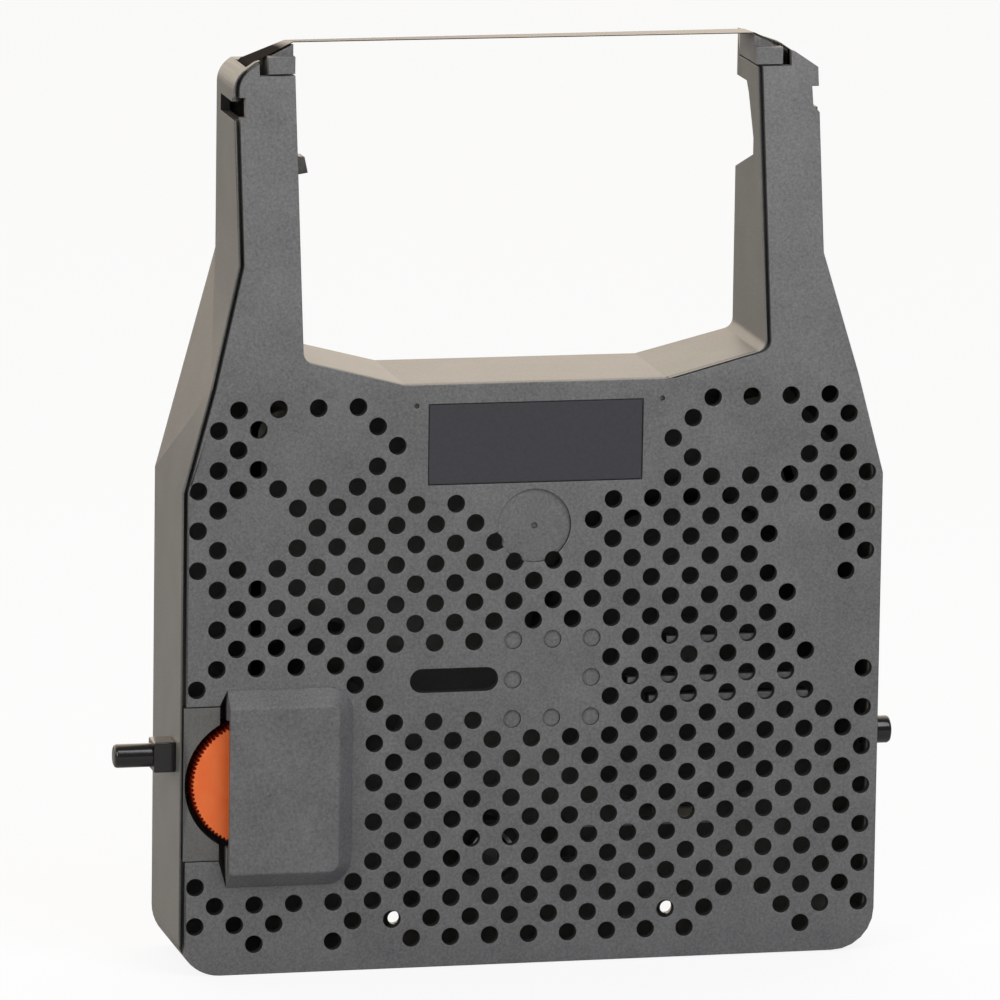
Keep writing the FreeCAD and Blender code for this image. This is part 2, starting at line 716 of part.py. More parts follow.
def drive_shaft():
    body = turned("drive_shaft", [
        ("0", FRONT + " - wheel_proud + 0.4"),
        ("shaft_radius", FRONT + " - wheel_proud + 0.4"),
        ("shaft_radius", BACK + " - 0.2"),
        ("socket_radius", BACK + " - 0.2"),
        ("socket_radius", BACK + " - 0.2 - socket_depth"),
        ("0", BACK + " - 0.2 - socket_depth"),
    ], "drive_x", "drive_height")
    return finished("drive_shaft", body)


def drive_roller():
    body = turned("drive_roller", [
        ("shaft_radius", FILM_FRONT),
        ("drive_roller_radius", FILM_FRONT),
        ("drive_roller_radius", FILM_BACK),
        ("shaft_radius", FILM_BACK),
    ], "drive_x", "drive_height")
    return finished("drive_roller", notched(body, "spike", [
        ("-0.7", "-drive_roller_radius - 0.3"),
        ("0.7", "-drive_roller_radius - 0.3"),
        ("0", "-drive_roller_radius + spike_depth"),
    ], FILM_FRONT, FILM_BACK, 20))


# Take-up spool on its swinging arm: the roll rests against the drive roller
def takeup_place():
    away = size("drive_roller_radius") + size("takeup_roll_radius") + size("seat_gap")
    turn = math.radians(size("takeup_bearing"))
    return size("drive_x") + away * math.cos(turn), size("drive_height") + away * math.sin(turn)


def takeup_formula():
    away = "(drive_roller_radius + takeup_roll_radius + seat_gap)"
    return ("drive_x + %s * cos(takeup_bearing * 1 deg)" % away,
            "drive_height + %s * sin(takeup_bearing * 1 deg)" % away)


def takeup_arm():
    spool_x, spool_z = takeup_place()
    reach = math.hypot(spool_x - size("pivot_x"), spool_z - size("pivot_height"))
    swing = math.degrees(math.atan2(spool_z - size("pivot_height"), spool_x - size("pivot_x")))
    front = size("ribbon_middle") - size("ribbon_width") / 2 - 5.0
    back = front + size("lever_thickness")
    half = size("lever_half_height")
    lever = Part.makeBox(reach, back - front, 2 * half, FreeCAD.Vector(0, front, -half))
    lever.Placement = FreeCAD.Placement(FreeCAD.Vector(size("pivot_x"), 0, size("pivot_height")),
                                        FreeCAD.Rotation(FreeCAD.Vector(0, 1, 0), -swing))
    along = FreeCAD.Vector(0, 1, 0)
    pivot = FreeCAD.Vector(size("pivot_x"), 0, size("pivot_height"))
    spool = FreeCAD.Vector(spool_x, 0, spool_z)
    film_front = size("ribbon_middle") - size("ribbon_width") / 2
    film_back = size("ribbon_middle") + size("ribbon_width") / 2
    hub = Part.makeCylinder(size("hub_radius"), film_front - 1 - front, pivot + along * front, along)
    pad = Part.makeCylinder(size("axle_radius") + 2, film_front - 0.3 - size("seat_gap") - front,
                            spool + along * front, along)
    axle = Part.makeCylinder(size("axle_radius") - size("running_gap"), film_back + 0.3 - front,
                             spool + along * front, along)
    bore = Part.makeCylinder(size("pivot_radius"), 30, pivot + along * (front - 10), along)
    arm = doc.addObject("Part::Feature", "takeup_arm")
    arm.Shape = lever.fuse([hub, pad, axle]).cut(bore).removeSplitter()
    return finished("takeup_arm", arm)


def arm_spring():
    # The coil of a torsion spring on the arm's post.
    front = "%s - 5 - seat_gap" % FILM_FRONT
    body = turned("arm_spring", [
        ("pivot_radius + 0.3", front + " - 2"),
        ("pivot_radius + 0.3 + spring_wire", front + " - 2"),
        ("pivot_radius + 0.3 + spring_wire", front),
        ("pivot_radius + 0.3", front),
    ], "pivot_x", "pivot_height")
    return finished("arm_spring", body)


def spool_core(label, bore, x, z):
    body = turned(label, [
        (bore, FILM_FRONT + " - 0.3"),
        ("core_radius - 1.8", FILM_FRONT + " - 0.3"),
        ("core_radius - 1.8", FILM_FRONT),
        ("core_radius", FILM_FRONT),
        ("core_radius", FILM_BACK),
        ("core_radius - 1.8", FILM_BACK),
        ("core_radius - 1.8", FILM_BACK + " + 0.3"),
        (bore, FILM_BACK + " + 0.3"),
    ], x, z)
    return finished(label, body)


def film_roll(label, radius, x, z):
    body = turned(label, [
        ("core_radius", FILM_FRONT),
        (radius, FILM_FRONT),
        (radius, FILM_BACK),
        ("core_radius", FILM_BACK),
    ], x, z)
    return finished(label, body)


def brake():
    # A felt pad on a leaf spring drags lightly on the supply roll.
    under = "(supply_height - supply_roll_radius - seat_gap)"
    pad = block("pad_felt", ("supply_x - 4.5", "supply_x + 4.5"), (FILM_FRONT + " + 1", FILM_BACK + " - 1"),
                (under + " - 3", under))
    leaf = block("leaf_steel", ("supply_x - 22", "supply_x + 6"), (FILM_FRONT + " + 2", FILM_BACK + " - 2"),
                 (under + " - 3.4", under + " - 3"))
    return finished("brake_pad", pad), finished("brake_spring", leaf)


def guide_roller(label, x):
    side = "(ribbon_side_gap + guide_flange_width)"
    body = turned(label, [
        ("guide_pin_radius + running_gap", FILM_FRONT + " - " + side),
        ("guide_flange", FILM_FRONT + " - " + side),
        ("guide_flange", FILM_FRONT + " - ribbon_side_gap"),
        ("guide_radius", FILM_FRONT + " - ribbon_side_gap"),
        ("guide_radius", FILM_BACK + " + ribbon_side_gap"),
        ("guide_flange", FILM_BACK + " + ribbon_side_gap"),
        ("guide_flange", FILM_BACK + " + " + side),
        ("guide_pin_radius + running_gap", FILM_BACK + " + " + side),
    ], x, "guide_height")
    return finished(label, body)


def guide_pins():
    # Two headed steel pins in the bosses of the base.
    side = "ribbon_side_gap + guide_flange_width + seat_gap"
    pins = []
    for name, x in (("left", "-guide_x"), ("right", "guide_x")):
        stem = rod(name + "_stem", "guide_pin_radius", x, (FILM_FRONT + " - (%s) - 0.8" % side,
                                                           FILM_BACK + " + " + side), "guide_height")
        head = rod(name + "_head", "guide_pin_radius + 0.8", x, (FILM_FRONT + " - (%s) - 0.8" % side,
                                                                 FILM_FRONT + " - (%s)" % side), "guide_height")
        pins.append(joined(name + "_guide_pin", [stem, head]))
    both = doc.addObject("Part::Compound", "pins_together")
    both.Links = pins
    return finished("guide_pins", both)


def tip_guide(label, sign):
    # A small block in the cut-away corner of the arm's tip: the film slides over its sloping back part.
    film = "(ribbon_height - seat_gap)"
    outer = "arm_step_x - tip_film_room"
    inner = "throat_half_width + base_wall"
    sill = "arm_outer_height + tip_cut_rise + seat_gap"
    foot = "arm_outer_height - tip_stem_length"
    stem = [(inner, foot), (outer, foot), (outer, sill), (inner, sill)]
    step = [("throat_half_width", sill), (outer, sill), (outer, sill + " + tip_step_height"),
            ("throat_half_width", sill + " + tip_step_height")]
    head = [("throat_half_width", sill), (outer, sill),
            (outer, film + " - tip_slope * (%s - throat_half_width)" % outer), ("throat_half_width", film)]
    face = tip_depth("arm_outer_height")
    bars = []
    for name, corners, front in (("stem", stem, face + " + cover_plate + seat_gap"),
                                 ("step", step, face + " + plate_gap"),
                                 ("head", head, FILM_FRONT + " - tip_ledge")):
        if sign < 0:
            corners = [("-(%s)" % across, up) for across, up in reversed(corners)]
        bars.append(slab(label + "_" + name, outline(label + "_" + name + "_outline", "front", corners), front,
                         PLATE_INSIDE if name != "step" else FILM_FRONT))
    return finished(label, joined(label + "_joined", bars))


def tangent(place, middle, radius, side):
    # Where a line from the place touches a circle, on its left side (1) or its right side (-1).
    across, up = place[0] - middle[0], place[1] - middle[1]
    turn = math.atan2(up, across) + side * math.acos(radius / math.hypot(across, up))
    return middle[0] + radius * math.cos(turn), middle[1] + radius * math.sin(turn)


def film_path():
    # From the take-up roll, over both arms and down to the supply roll.
    away = size("seat_gap") + size("ribbon_thickness")
    guide = (size("guide_x") + size("guide_radius") + away, size("guide_height"))
    shoulder = size("arm_step_x") - 1
    lowered = size("tip_slope") * (shoulder - size("throat_half_width"))
    corner = (size("throat_half_width"), size("ribbon_height"))
    takeup_radius = size("takeup_roll_radius") + away
    supply_middle = (size("supply_x"), size("supply_height"))
    flat = [
        tangent((-guide[0], guide[1]), takeup_place(), takeup_radius, 1),
        (-guide[0], guide[1]),
        (-shoulder, size("ribbon_height") - lowered),
        (-corner[0], corner[1]),
        corner,
        (shoulder, size("ribbon_height") - lowered),
        guide,
        tangent(guide, supply_middle, size("supply_roll_radius") + away, -1),
    ]
    return [FreeCAD.Vector(x, 0, z) for x, z in flat]


def ribbon_run():
    path = Part.makePolygon(film_path())
    strip = path.makeOffset2D(size("ribbon_thickness"), 2, True, True)
    front = size("ribbon_middle") - size("ribbon_width") / 2
    film = doc.addObject("Part::Feature", "film_strand")
    solid = strip.extrude(FreeCAD.Vector(0, size("ribbon_width"), 0))
    solid.translate(FreeCAD.Vector(0, front, 0))
    film.Shape = solid
    return finished("ribbon_run", film)


def pivot_pins():
    depth = FRONT + " + pin_depth"
    collar = block("left_collar", ("-half_width - collar_length", "-half_width"),
                   (depth + " - collar_side / 2", depth + " + collar_side / 2"),
                   ("pin_height - collar_side / 2", "pin_height + collar_side / 2"))
    peg = cross_rod("left_peg", "left_pin_radius", ("-half_width - left_pin_length", "-half_width + base_wall"),
                    depth, "pin_height")
    left = joined("left_pin_joined", [collar, peg])
    ring = cross_rod("right_ring", "right_pin_radius + 0.5", ("half_width", "half_width + 1"), depth, "pin_height")
    nub = cross_rod("right_nub", "right_pin_radius", ("half_width - base_wall", "half_width + right_pin_length"),
                    depth, "pin_height")
    right = joined("right_pin_joined", [ring, nub])
    return finished("left_pivot_pin", left), finished("right_pivot_pin", right)


spool_x, spool_height = takeup_formula()
pieces = [
    base_housing(),
    perforated_cover(),
    blank_label(),
    thumb_wheel(),
    drive_shaft(),
    drive_roller(),
    takeup_arm(),
    arm_spring(),
    spool_core("takeup_core", "axle_radius", spool_x, spool_height),
    film_roll("takeup_roll", "takeup_roll_radius", spool_x, spool_height),
    spool_core("supply_core", "core_bore", "supply_x", "supply_height"),
    film_roll("supply_roll", "supply_roll_radius", "supply_x", "supply_height"),
    *brake(),
    guide_roller("left_guide_roller", "-guide_x"),
    guide_roller("right_guide_roller", "guide_x"),
    guide_pins(),
    tip_guide("left_tip_guide", -1),
    tip_guide("right_tip_guide", 1),
    ribbon_run(),
    *pivot_pins(),
]
doc.recompute()

for thing in doc.Objects:
    if any(word in thing.State for word in ("Invalid", "Error")):
        raise RuntimeError("%s failed to recompute" % thing.Label)

os.makedirs("parts", exist_ok=True)
for piece in pieces:
    if piece.Shape.isNull() or not piece.Shape.isValid():
        raise RuntimeError("%s has no valid shape" % piece.Label)
    piece.Shape.exportStep("parts/%s.step" % piece.Label)
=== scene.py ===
import math

import bmesh
import bpy
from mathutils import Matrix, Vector
from mathutils.geometry import delaunay_2d_cdt


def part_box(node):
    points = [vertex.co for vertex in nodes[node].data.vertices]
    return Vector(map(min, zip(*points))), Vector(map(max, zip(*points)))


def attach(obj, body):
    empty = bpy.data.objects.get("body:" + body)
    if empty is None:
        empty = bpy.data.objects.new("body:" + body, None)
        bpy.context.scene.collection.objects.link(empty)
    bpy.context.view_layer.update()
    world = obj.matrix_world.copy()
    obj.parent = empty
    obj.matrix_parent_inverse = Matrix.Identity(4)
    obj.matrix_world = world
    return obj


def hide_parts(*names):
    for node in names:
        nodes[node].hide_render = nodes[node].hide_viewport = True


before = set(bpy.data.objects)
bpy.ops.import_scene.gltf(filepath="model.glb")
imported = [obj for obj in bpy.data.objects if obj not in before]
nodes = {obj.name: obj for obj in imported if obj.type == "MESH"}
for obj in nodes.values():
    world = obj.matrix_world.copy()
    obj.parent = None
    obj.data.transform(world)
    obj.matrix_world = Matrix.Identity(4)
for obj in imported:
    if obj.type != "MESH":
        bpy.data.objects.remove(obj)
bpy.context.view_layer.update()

# PERFORATED COVER
# The front shell of the cartridge: one moulding 1.6 mm thick, pierced by a slanting grid of round holes.
# It drops into the tray behind a narrow groove along the sides that face left, and carries a bevelled hood.
MM = 0.001
COVER_FACE = -12.5
COVER_WALL = 1.6
COVER_EDGE = 0.16
EDGE_MIDDLE = 0.29
SAME_POINT = 0.003
BODY_HALF = 63
BODY_CORNER = 7.5
SHOULDER_FOOT, SHOULDER_TOP = 86.5, 125.5
ARM_HALF = 52.5
ARM_TOP = 157.5
ARM_BEND = 104.5
ARM_LEAN = 0.2
NOTCH_FOOT, NOTCH_TOP = 150.8, 154.2
NOTCH_DEPTH = 1.1
THROAT_HALF = 41.4
THROAT_FLOOR_HALF = 23.6
THROAT_SLOPE_TOP = 109
TIP_HALF = 47.7
TIP_SILL = 157.8
LEFT_GROOVE = 1.1
FLOOR_LAP = 0.3
FLOOR_EDGE = 0.05
HOLE_STEP = 5 / math.sqrt(2)
HOLE_RADIUS = 1.55
HOLE_SIDES = 24
HOLE_ROW_ZERO = 30.2
HOLE_MARGIN = 2.7
DIMPLE_MIDDLE = (1, 6)
DIMPLE_DEPTH = 0.45
LABEL_SIZE = (38.2, 14.1)
LABEL_FOOT = 86.8
LABEL_PLAY = 0.15
RECESS_DEPTH = 0.5
GATE_PLACE = (0, 78.9)
GATE_RADIUS = 6.5
GATE_DEPTH = 0.35
GATE_TILT = 0.04
GATE_SIDES = 180
NIB_RADIUS = 0.55
NIB_DEPTH = 0.75
SLOT_LEFT, SLOT_RIGHT = -19.9, -8.3
SLOT_HEIGHT = 51.7
SLOT_RADIUS = 2.1
HOOD_LEFT, HOOD_RIGHT = -54.6, -32.3
HOOD_FOOT, HOOD_TOP = 15.9, 51.2
HOOD_RISE = 3.0
HOOD_BEVEL = ((0, -0.2), (0, 0.08), (0.12, 0.3), (2.55, 2.72), (2.8, 2.93), (3.1, HOOD_RISE))
HOOD_CORNER = 4.5
HOOD_WALL = 1.1
HOOD_KEEP_CLEAR = 3.5
THUMB_FOOT, THUMB_TOP = 20.6, 48.4
WHEEL_PLACE = (-49.8, 34.4)
WHEEL_BAY = 12.35
WHEEL_BAY_RIGHT = -36
SMALL_MARKS = ((-21.4, 100.8), (22.7, 101.0))
MARK_RADIUS = 0.4
HOOD_MARK = (-47.7, 33.1)
HOOD_MARK_RADIUS = 0.45
INNER_RIBS = ((24.5, 40.5, 56.8), (17.5, 50.5, 49.6), (21.5, 50.5, 46.2))
RIB_DEPTH, RIB_THICKNESS = 3, 1.2
ABS_MOTTLE = 9
ABS_MOTTLE_SHARE = 0.35
ABS_TONE_RANGE = (0.45, 0.95)
# Stretches of the grid that have no hole, over the posts and ribs behind and the marks in front.
# Each is a middle column and row, and how far it reaches in columns and in rows.
HOLE_LANDS = (
    (0, 18, 6.5, 2.5), (-11, 18, 2.5, 1.5), (11, 18, 2.5, 1.5), (-14, 14, 1.5, 1.5), (-17, 9, 0.5, 1.5),
    (-4.5, 6, 3, 1.5), (1, 6, 2.5, 2.5), (0, 15, 2.5, 0.5), (0, 14, 1.5, 0.5), (1, 13, 1.5, 0.5),
    (13, 13, 0.5, 1.5), (14.5, 11, 1, 2.5), (16, 9, 1.5, 1.5), (15.5, 6, 1, 1.5), (-7, 20, 0.5, 0.5),
    (7, 20, 0.5, 0.5), (-11, -6, 0.5, 0.5), (11, -6, 0.5, 0.5), (-16, -7, 0.5, 0.5), (-12, -7, 0.5, 0.5),
    (-8, -7, 0.5, 0.5), (11, -7, 1.5, 0.5), (16, -7, 0.5, 0.5),
)


def linear(hex_colour):
    # An sRGB hex colour as linear red, green and blue.
    parts = [int(hex_colour[n:n + 2], 16) / 255 for n in (1, 3, 5)]
    return [part / 12.92 if part <= 0.04045 else ((part + 0.055) / 1.055) ** 2.4 for part in parts] + [1]


def add(tree, kind, settings=None, **inputs):
    # Adds one node, with its settings, and its inputs as values or as links from other nodes' sockets.
    made = tree.nodes.new("ShaderNode" + kind)
    for name, value in (settings or {}).items():
        setattr(made, name, value)
    for name, value in inputs.items():
        socket = made.inputs[name.replace("_", " ")]
        if isinstance(value, bpy.types.NodeSocket):
            tree.links.new(value, socket)
        else:
            socket.default_value = value
    return made


def blank_material(name):
    # A new material without nodes, and its node tree.
    material = bpy.data.materials.new(name)
    material.use_nodes = True
    material.node_tree.nodes.clear()
    return material, material.node_tree


def arc(centre, radius, start, end, steps):
    # Points along an arc, from one angle to another in degrees, both ends included.
    turns = [math.radians(start + (end - start) * n / steps) for n in range(steps + 1)]
    return [(centre[0] + radius * math.cos(turn), centre[1] + radius * math.sin(turn)) for turn in turns]


def ring(centre, radius, sides):
    return arc(centre, radius, 0, 360 - 360 / sides, sides - 1)


def softened(corners, steps=6):
    # A closed outline whose corners are (x, z) or (x, z, radius); a radius turns the corner into an arc.
    points = []
    for n, corner in enumerate(corners):
        here = Vector(corner[:2])
        if len(corner) == 2:
            points.append(tuple(here))
            continue
        before = (Vector(corners[n - 1][:2]) - here).normalized()
        after = (Vector(corners[(n + 1) % len(corners)][:2]) - here).normalized()
        half = before.angle(after) / 2
        middle = here + (before + after).normalized() * corner[2] / math.sin(half)
        first = here + before * corner[2] / math.tan(half) - middle
        last = here + after * corner[2] / math.tan(half) - middle
        sweep = first.angle_signed(last)
        for k in range(steps + 1):
            turn = -sweep * k / steps
            x = first.x * math.cos(turn) - first.y * math.sin(turn)
            z = first.x * math.sin(turn) + first.y * math.cos(turn)
            points.append((middle.x + x, middle.y + z))
    return points


def counterclockwise(loop):
    # The loop without points that fall together, and running counterclockwise.
    kept = [point for n, point in enumerate(loop) if math.dist(point, loop[n - 1]) > SAME_POINT]
    area = sum(kept[n - 1][0] * point[1] - point[0] * kept[n - 1][1] for n, point in enumerate(kept))
    return kept if area > 0 else kept[::-1]


def moved_inward(loop, distance, least=0.4):
    # Each corner slides along its mitre, so that both its sides move by the distance.
    # The mitre of a sharp corner would run far out, so least cuts it short.
    moved = []
    for n, point in enumerate(loop):
        here = Vector(point)
        before = (here - Vector(loop[n - 1])).normalized()
        after = (Vector(loop[(n + 1) % len(loop)]) - here).normalized()
        both = Vector((-before.y - after.y, before.x + after.x))
        moved.append(here + both * distance / max(1 + before.dot(after), least))
    return moved


def flat_shape(loops, front, back, edge, taper=0.0):
    # A plate in mm as an edit mesh: the first loop is its outline, the others are openings.
    # Its front edges are rounded over in two facets; the walls of openings take the second material, which is
    # painted shade.
    lines = [counterclockwise(loop) for loop in loops]
    points = [Vector(point) for line in lines for point in line]
    numbers, count = [], 0
    for line in lines:
        numbers.append(list(range(count, count + len(line))))
        count += len(line)
    filled = delaunay_2d_cdt(points, [], numbers, 1, 1e-5, True)
    source = [olds[0] for olds in filled[3]]
    shape = bmesh.new()
    levels = []
    middle = EDGE_MIDDLE * edge
    for inset, depth in ((edge + taper, 0), (middle + taper, middle), (taper, edge), (0, back - front)):
        level = []
        for n, line in enumerate(lines):
            for x, z in moved_inward(line, inset if n == 0 else -inset):
                level.append(shape.verts.new((x * MM, (front + depth) * MM, z * MM)))
        levels.append(level)
    for corners, covers in zip(filled[2], filled[5]):
        if covers == [0]:
            shape.faces.new([levels[0][source[n]] for n in corners])
            shape.faces.new([levels[-1][source[n]] for n in reversed(corners)])
    for upper, lower in zip(levels, levels[1:]):
        for line in numbers:
            for n, here in enumerate(line):
                wall = shape.faces.new((upper[line[n - 1]], upper[here], lower[here], lower[line[n - 1]]))
                wall.material_index = int(line is not numbers[0] and upper is not levels[0])
    return shape


def combined(shapes):
    # Several edit meshes as one; the parts aren't joined.
    whole = bmesh.new()
    for shape in shapes:
        mesh = bpy.data.meshes.new("part")
        shape.to_mesh(mesh)
        whole.from_mesh(mesh)
        shape.free()
    return whole


def piece(name, shape, material, body, *replaced, smooth=50):
    # Turns an edit mesh into a piece that rides on a body and stands for CAD nodes.
    bmesh.ops.recalc_face_normals(shape, faces=shape.faces)
    mesh = bpy.data.meshes.new(name)
    shape.to_mesh(mesh)
    shape.free()
    mesh.shade_smooth()
    mesh.set_sharp_from_angle(angle=math.radians(smooth))
    made = bpy.data.objects.new(name, mesh)
    bpy.context.collection.objects.link(made)
    made.data.materials.append(material)
    even = made.modifiers.new("even_shading", "WEIGHTED_NORMAL")
    even.keep_sharp = True
    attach(made, body)
    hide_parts(*replaced)
    return made


def cover_outline():
    groove = LEFT_GROOVE
    wheel_x, wheel_z = WHEEL_PLACE
    bay = math.sqrt(WHEEL_BAY ** 2 - (HOOD_LEFT - wheel_x) ** 2)
    corner = math.sqrt(BODY_CORNER ** 2 - (BODY_CORNER - groove) ** 2)
    left_side, left_arm, right_throat = groove - BODY_HALF, groove - ARM_HALF, groove + THROAT_HALF
    corners = [
        (BODY_HALF, 0, BODY_CORNER), (BODY_HALF, SHOULDER_FOOT), (ARM_HALF, SHOULDER_TOP),
        (ARM_HALF, NOTCH_FOOT - NOTCH_DEPTH), (ARM_HALF - NOTCH_DEPTH, NOTCH_FOOT),
        (ARM_HALF - NOTCH_DEPTH - 0.1, NOTCH_TOP), (ARM_HALF, NOTCH_TOP), (ARM_HALF, ARM_TOP),
        (48.5, 160.2), (TIP_HALF, 160.47), (TIP_HALF, TIP_SILL),
        (right_throat, TIP_SILL), (right_throat, THROAT_SLOPE_TOP, 2),
        (THROAT_FLOOR_HALF + groove, ARM_BEND, 0.6), (-THROAT_FLOOR_HALF, ARM_BEND, 0.6),
        (-THROAT_HALF, THROAT_SLOPE_TOP, 2), (-THROAT_HALF, TIP_SILL),
        (-TIP_HALF, TIP_SILL), (-TIP_HALF, 160), (left_arm, ARM_TOP, 4.5),
        (left_arm, NOTCH_TOP), (left_arm + 1, NOTCH_TOP), (left_arm + 1, NOTCH_FOOT), (left_arm, NOTCH_FOOT),
        (left_arm, SHOULDER_TOP), (left_side, SHOULDER_FOOT),
        (left_side, THUMB_TOP), (HOOD_LEFT - 1.3, THUMB_TOP), (HOOD_LEFT, HOOD_TOP),
        (HOOD_LEFT + 0.01, wheel_z + bay), (WHEEL_BAY_RIGHT, wheel_z + bay),
        (WHEEL_BAY_RIGHT, wheel_z - bay), (HOOD_LEFT + 0.01, wheel_z - bay),
        (HOOD_LEFT, HOOD_FOOT), (HOOD_LEFT - 1.3, THUMB_FOOT), (left_side, THUMB_FOOT),
        (left_side, BODY_CORNER - corner),
    ]
    foot = math.degrees(math.atan2(-corner, groove - BODY_CORNER))
    return softened(corners) + arc((BODY_CORNER - BODY_HALF, BODY_CORNER), BODY_CORNER, foot, -90, 8)[1:]


def hole_places():
    # Every second crossing of rows and columns one step apart, clear of edges, hood, thumb wheel and lands.
    clear = HOOD_KEEP_CLEAR
    places = []
    for row in range(-7, 21):
        for column in range(-17, 18):
            x, z = column * HOLE_STEP, HOLE_ROW_ZERO + row * HOLE_STEP
            slant = max(z - SHOULDER_FOOT, 0) * (BODY_HALF - ARM_HALF) / (SHOULDER_TOP - SHOULDER_FOOT)
            near_x = max(HOOD_LEFT - x, x - (HOOD_RIGHT - clear), 0)
            near_z = max(HOOD_FOOT + clear - z, z - (HOOD_TOP - clear), 0)
            taken = [
                (row + column) % 2 == 0,
                abs(x) > BODY_HALF - slant - HOLE_MARGIN,
                z < HOLE_MARGIN or z > ARM_BEND - HOLE_MARGIN,
                math.hypot(near_x, near_z) < clear + HOLE_RADIUS,
                x < HOOD_LEFT and THUMB_FOOT - HOLE_RADIUS < z < THUMB_TOP + HOLE_RADIUS,
            ]
            taken += [abs(column - land[0]) <= land[2] and abs(row - land[1]) <= land[3] for land in HOLE_LANDS]
            if not any(taken):
                places.append((x, z))
    return places


def along_ray(turn, place, radius):
    # Where a ray from the gate's middle enters and leaves a hole, or None where it misses.
    across, up = place[0] - GATE_PLACE[0], place[1] - GATE_PLACE[1]
    reach = across * math.cos(turn) + up * math.sin(turn)
    miss = abs(up * math.cos(turn) - across * math.sin(turn))
    if reach < 0 or miss >= radius:
        return None
    half = math.sqrt(radius ** 2 - miss ** 2)
    return reach - half, reach + half


def gate_loops(holes):
    # The shallow round pocket of the gate: its outline and its floor's, both notched by the holes it meets.
    outer, floor = [], []
    for n in range(GATE_SIDES):
        turn = 2 * math.pi * n / GATE_SIDES
        hits = [hit for hit in (along_ray(turn, hole, HOLE_RADIUS) for hole in holes) if hit]
        far = max([GATE_RADIUS] + [hit[1] for hit in hits])
        near = min([GATE_RADIUS + 0.1] + [hit[0] for hit in hits])
        outer.append((GATE_PLACE[0] + far * math.cos(turn), GATE_PLACE[1] + far * math.sin(turn)))
        floor.append((GATE_PLACE[0] + near * math.cos(turn), GATE_PLACE[1] + near * math.sin(turn)))
    return outer, floor


def hood_shape():
    # An open-ended box with bevelled sides, grown ring by ring from the cover's face and given a wall.
    # The bevel's pairs are how far a ring is set in and how far it stands out.
    shape = bmesh.new()
    rings = []
    for inset, rise in HOOD_BEVEL:
        radius = HOOD_CORNER - inset
        right, top, foot = HOOD_RIGHT - inset, HOOD_TOP - inset, HOOD_FOOT + inset
        line = [(HOOD_LEFT, top)] + arc((right - radius, top - radius), radius, 90, 0, 8)
        line += arc((right - radius, foot + radius), radius, 0, -90, 8) + [(HOOD_LEFT, foot)]
        rings.append([shape.verts.new((x * MM, (COVER_FACE - rise) * MM, z * MM)) for x, z in line])
    for lower, upper in zip(rings, rings[1:]):
        for n in range(len(lower) - 1):
            shape.faces.new((lower[n], lower[n + 1], upper[n + 1], upper[n]))
    shape.faces.new(rings[-1])
    bmesh.ops.recalc_face_normals(shape, faces=shape.faces)
    roof = max(shape.faces, key=lambda face: face.calc_area())
    if roof.normal.y > 0:
        bmesh.ops.reverse_faces(shape, faces=shape.faces)
    bmesh.ops.solidify(shape, geom=shape.faces[:], thickness=HOOD_WALL * MM)
    return shape


def box_shape(low, high, edge):
    shape = bmesh.new()
    bmesh.ops.create_cube(shape, size=1)
    for vertex in shape.verts:
        for axis in range(3):
            vertex.co[axis] = (low[axis] if vertex.co[axis] < 0 else high[axis]) * MM
    bmesh.ops.bevel(shape, geom=shape.edges[:], offset=edge * MM, segments=2, profile=0.5, affect="EDGES")
    return shape


def label_loop(play):
    # The label's outline, grown on all sides by the play.
    half_width, foot, top = LABEL_SIZE[0] / 2 + play, LABEL_FOOT - play, LABEL_FOOT + LABEL_SIZE[1] + play
    return [(-half_width, foot), (half_width, foot), (half_width, top), (-half_width, top)]


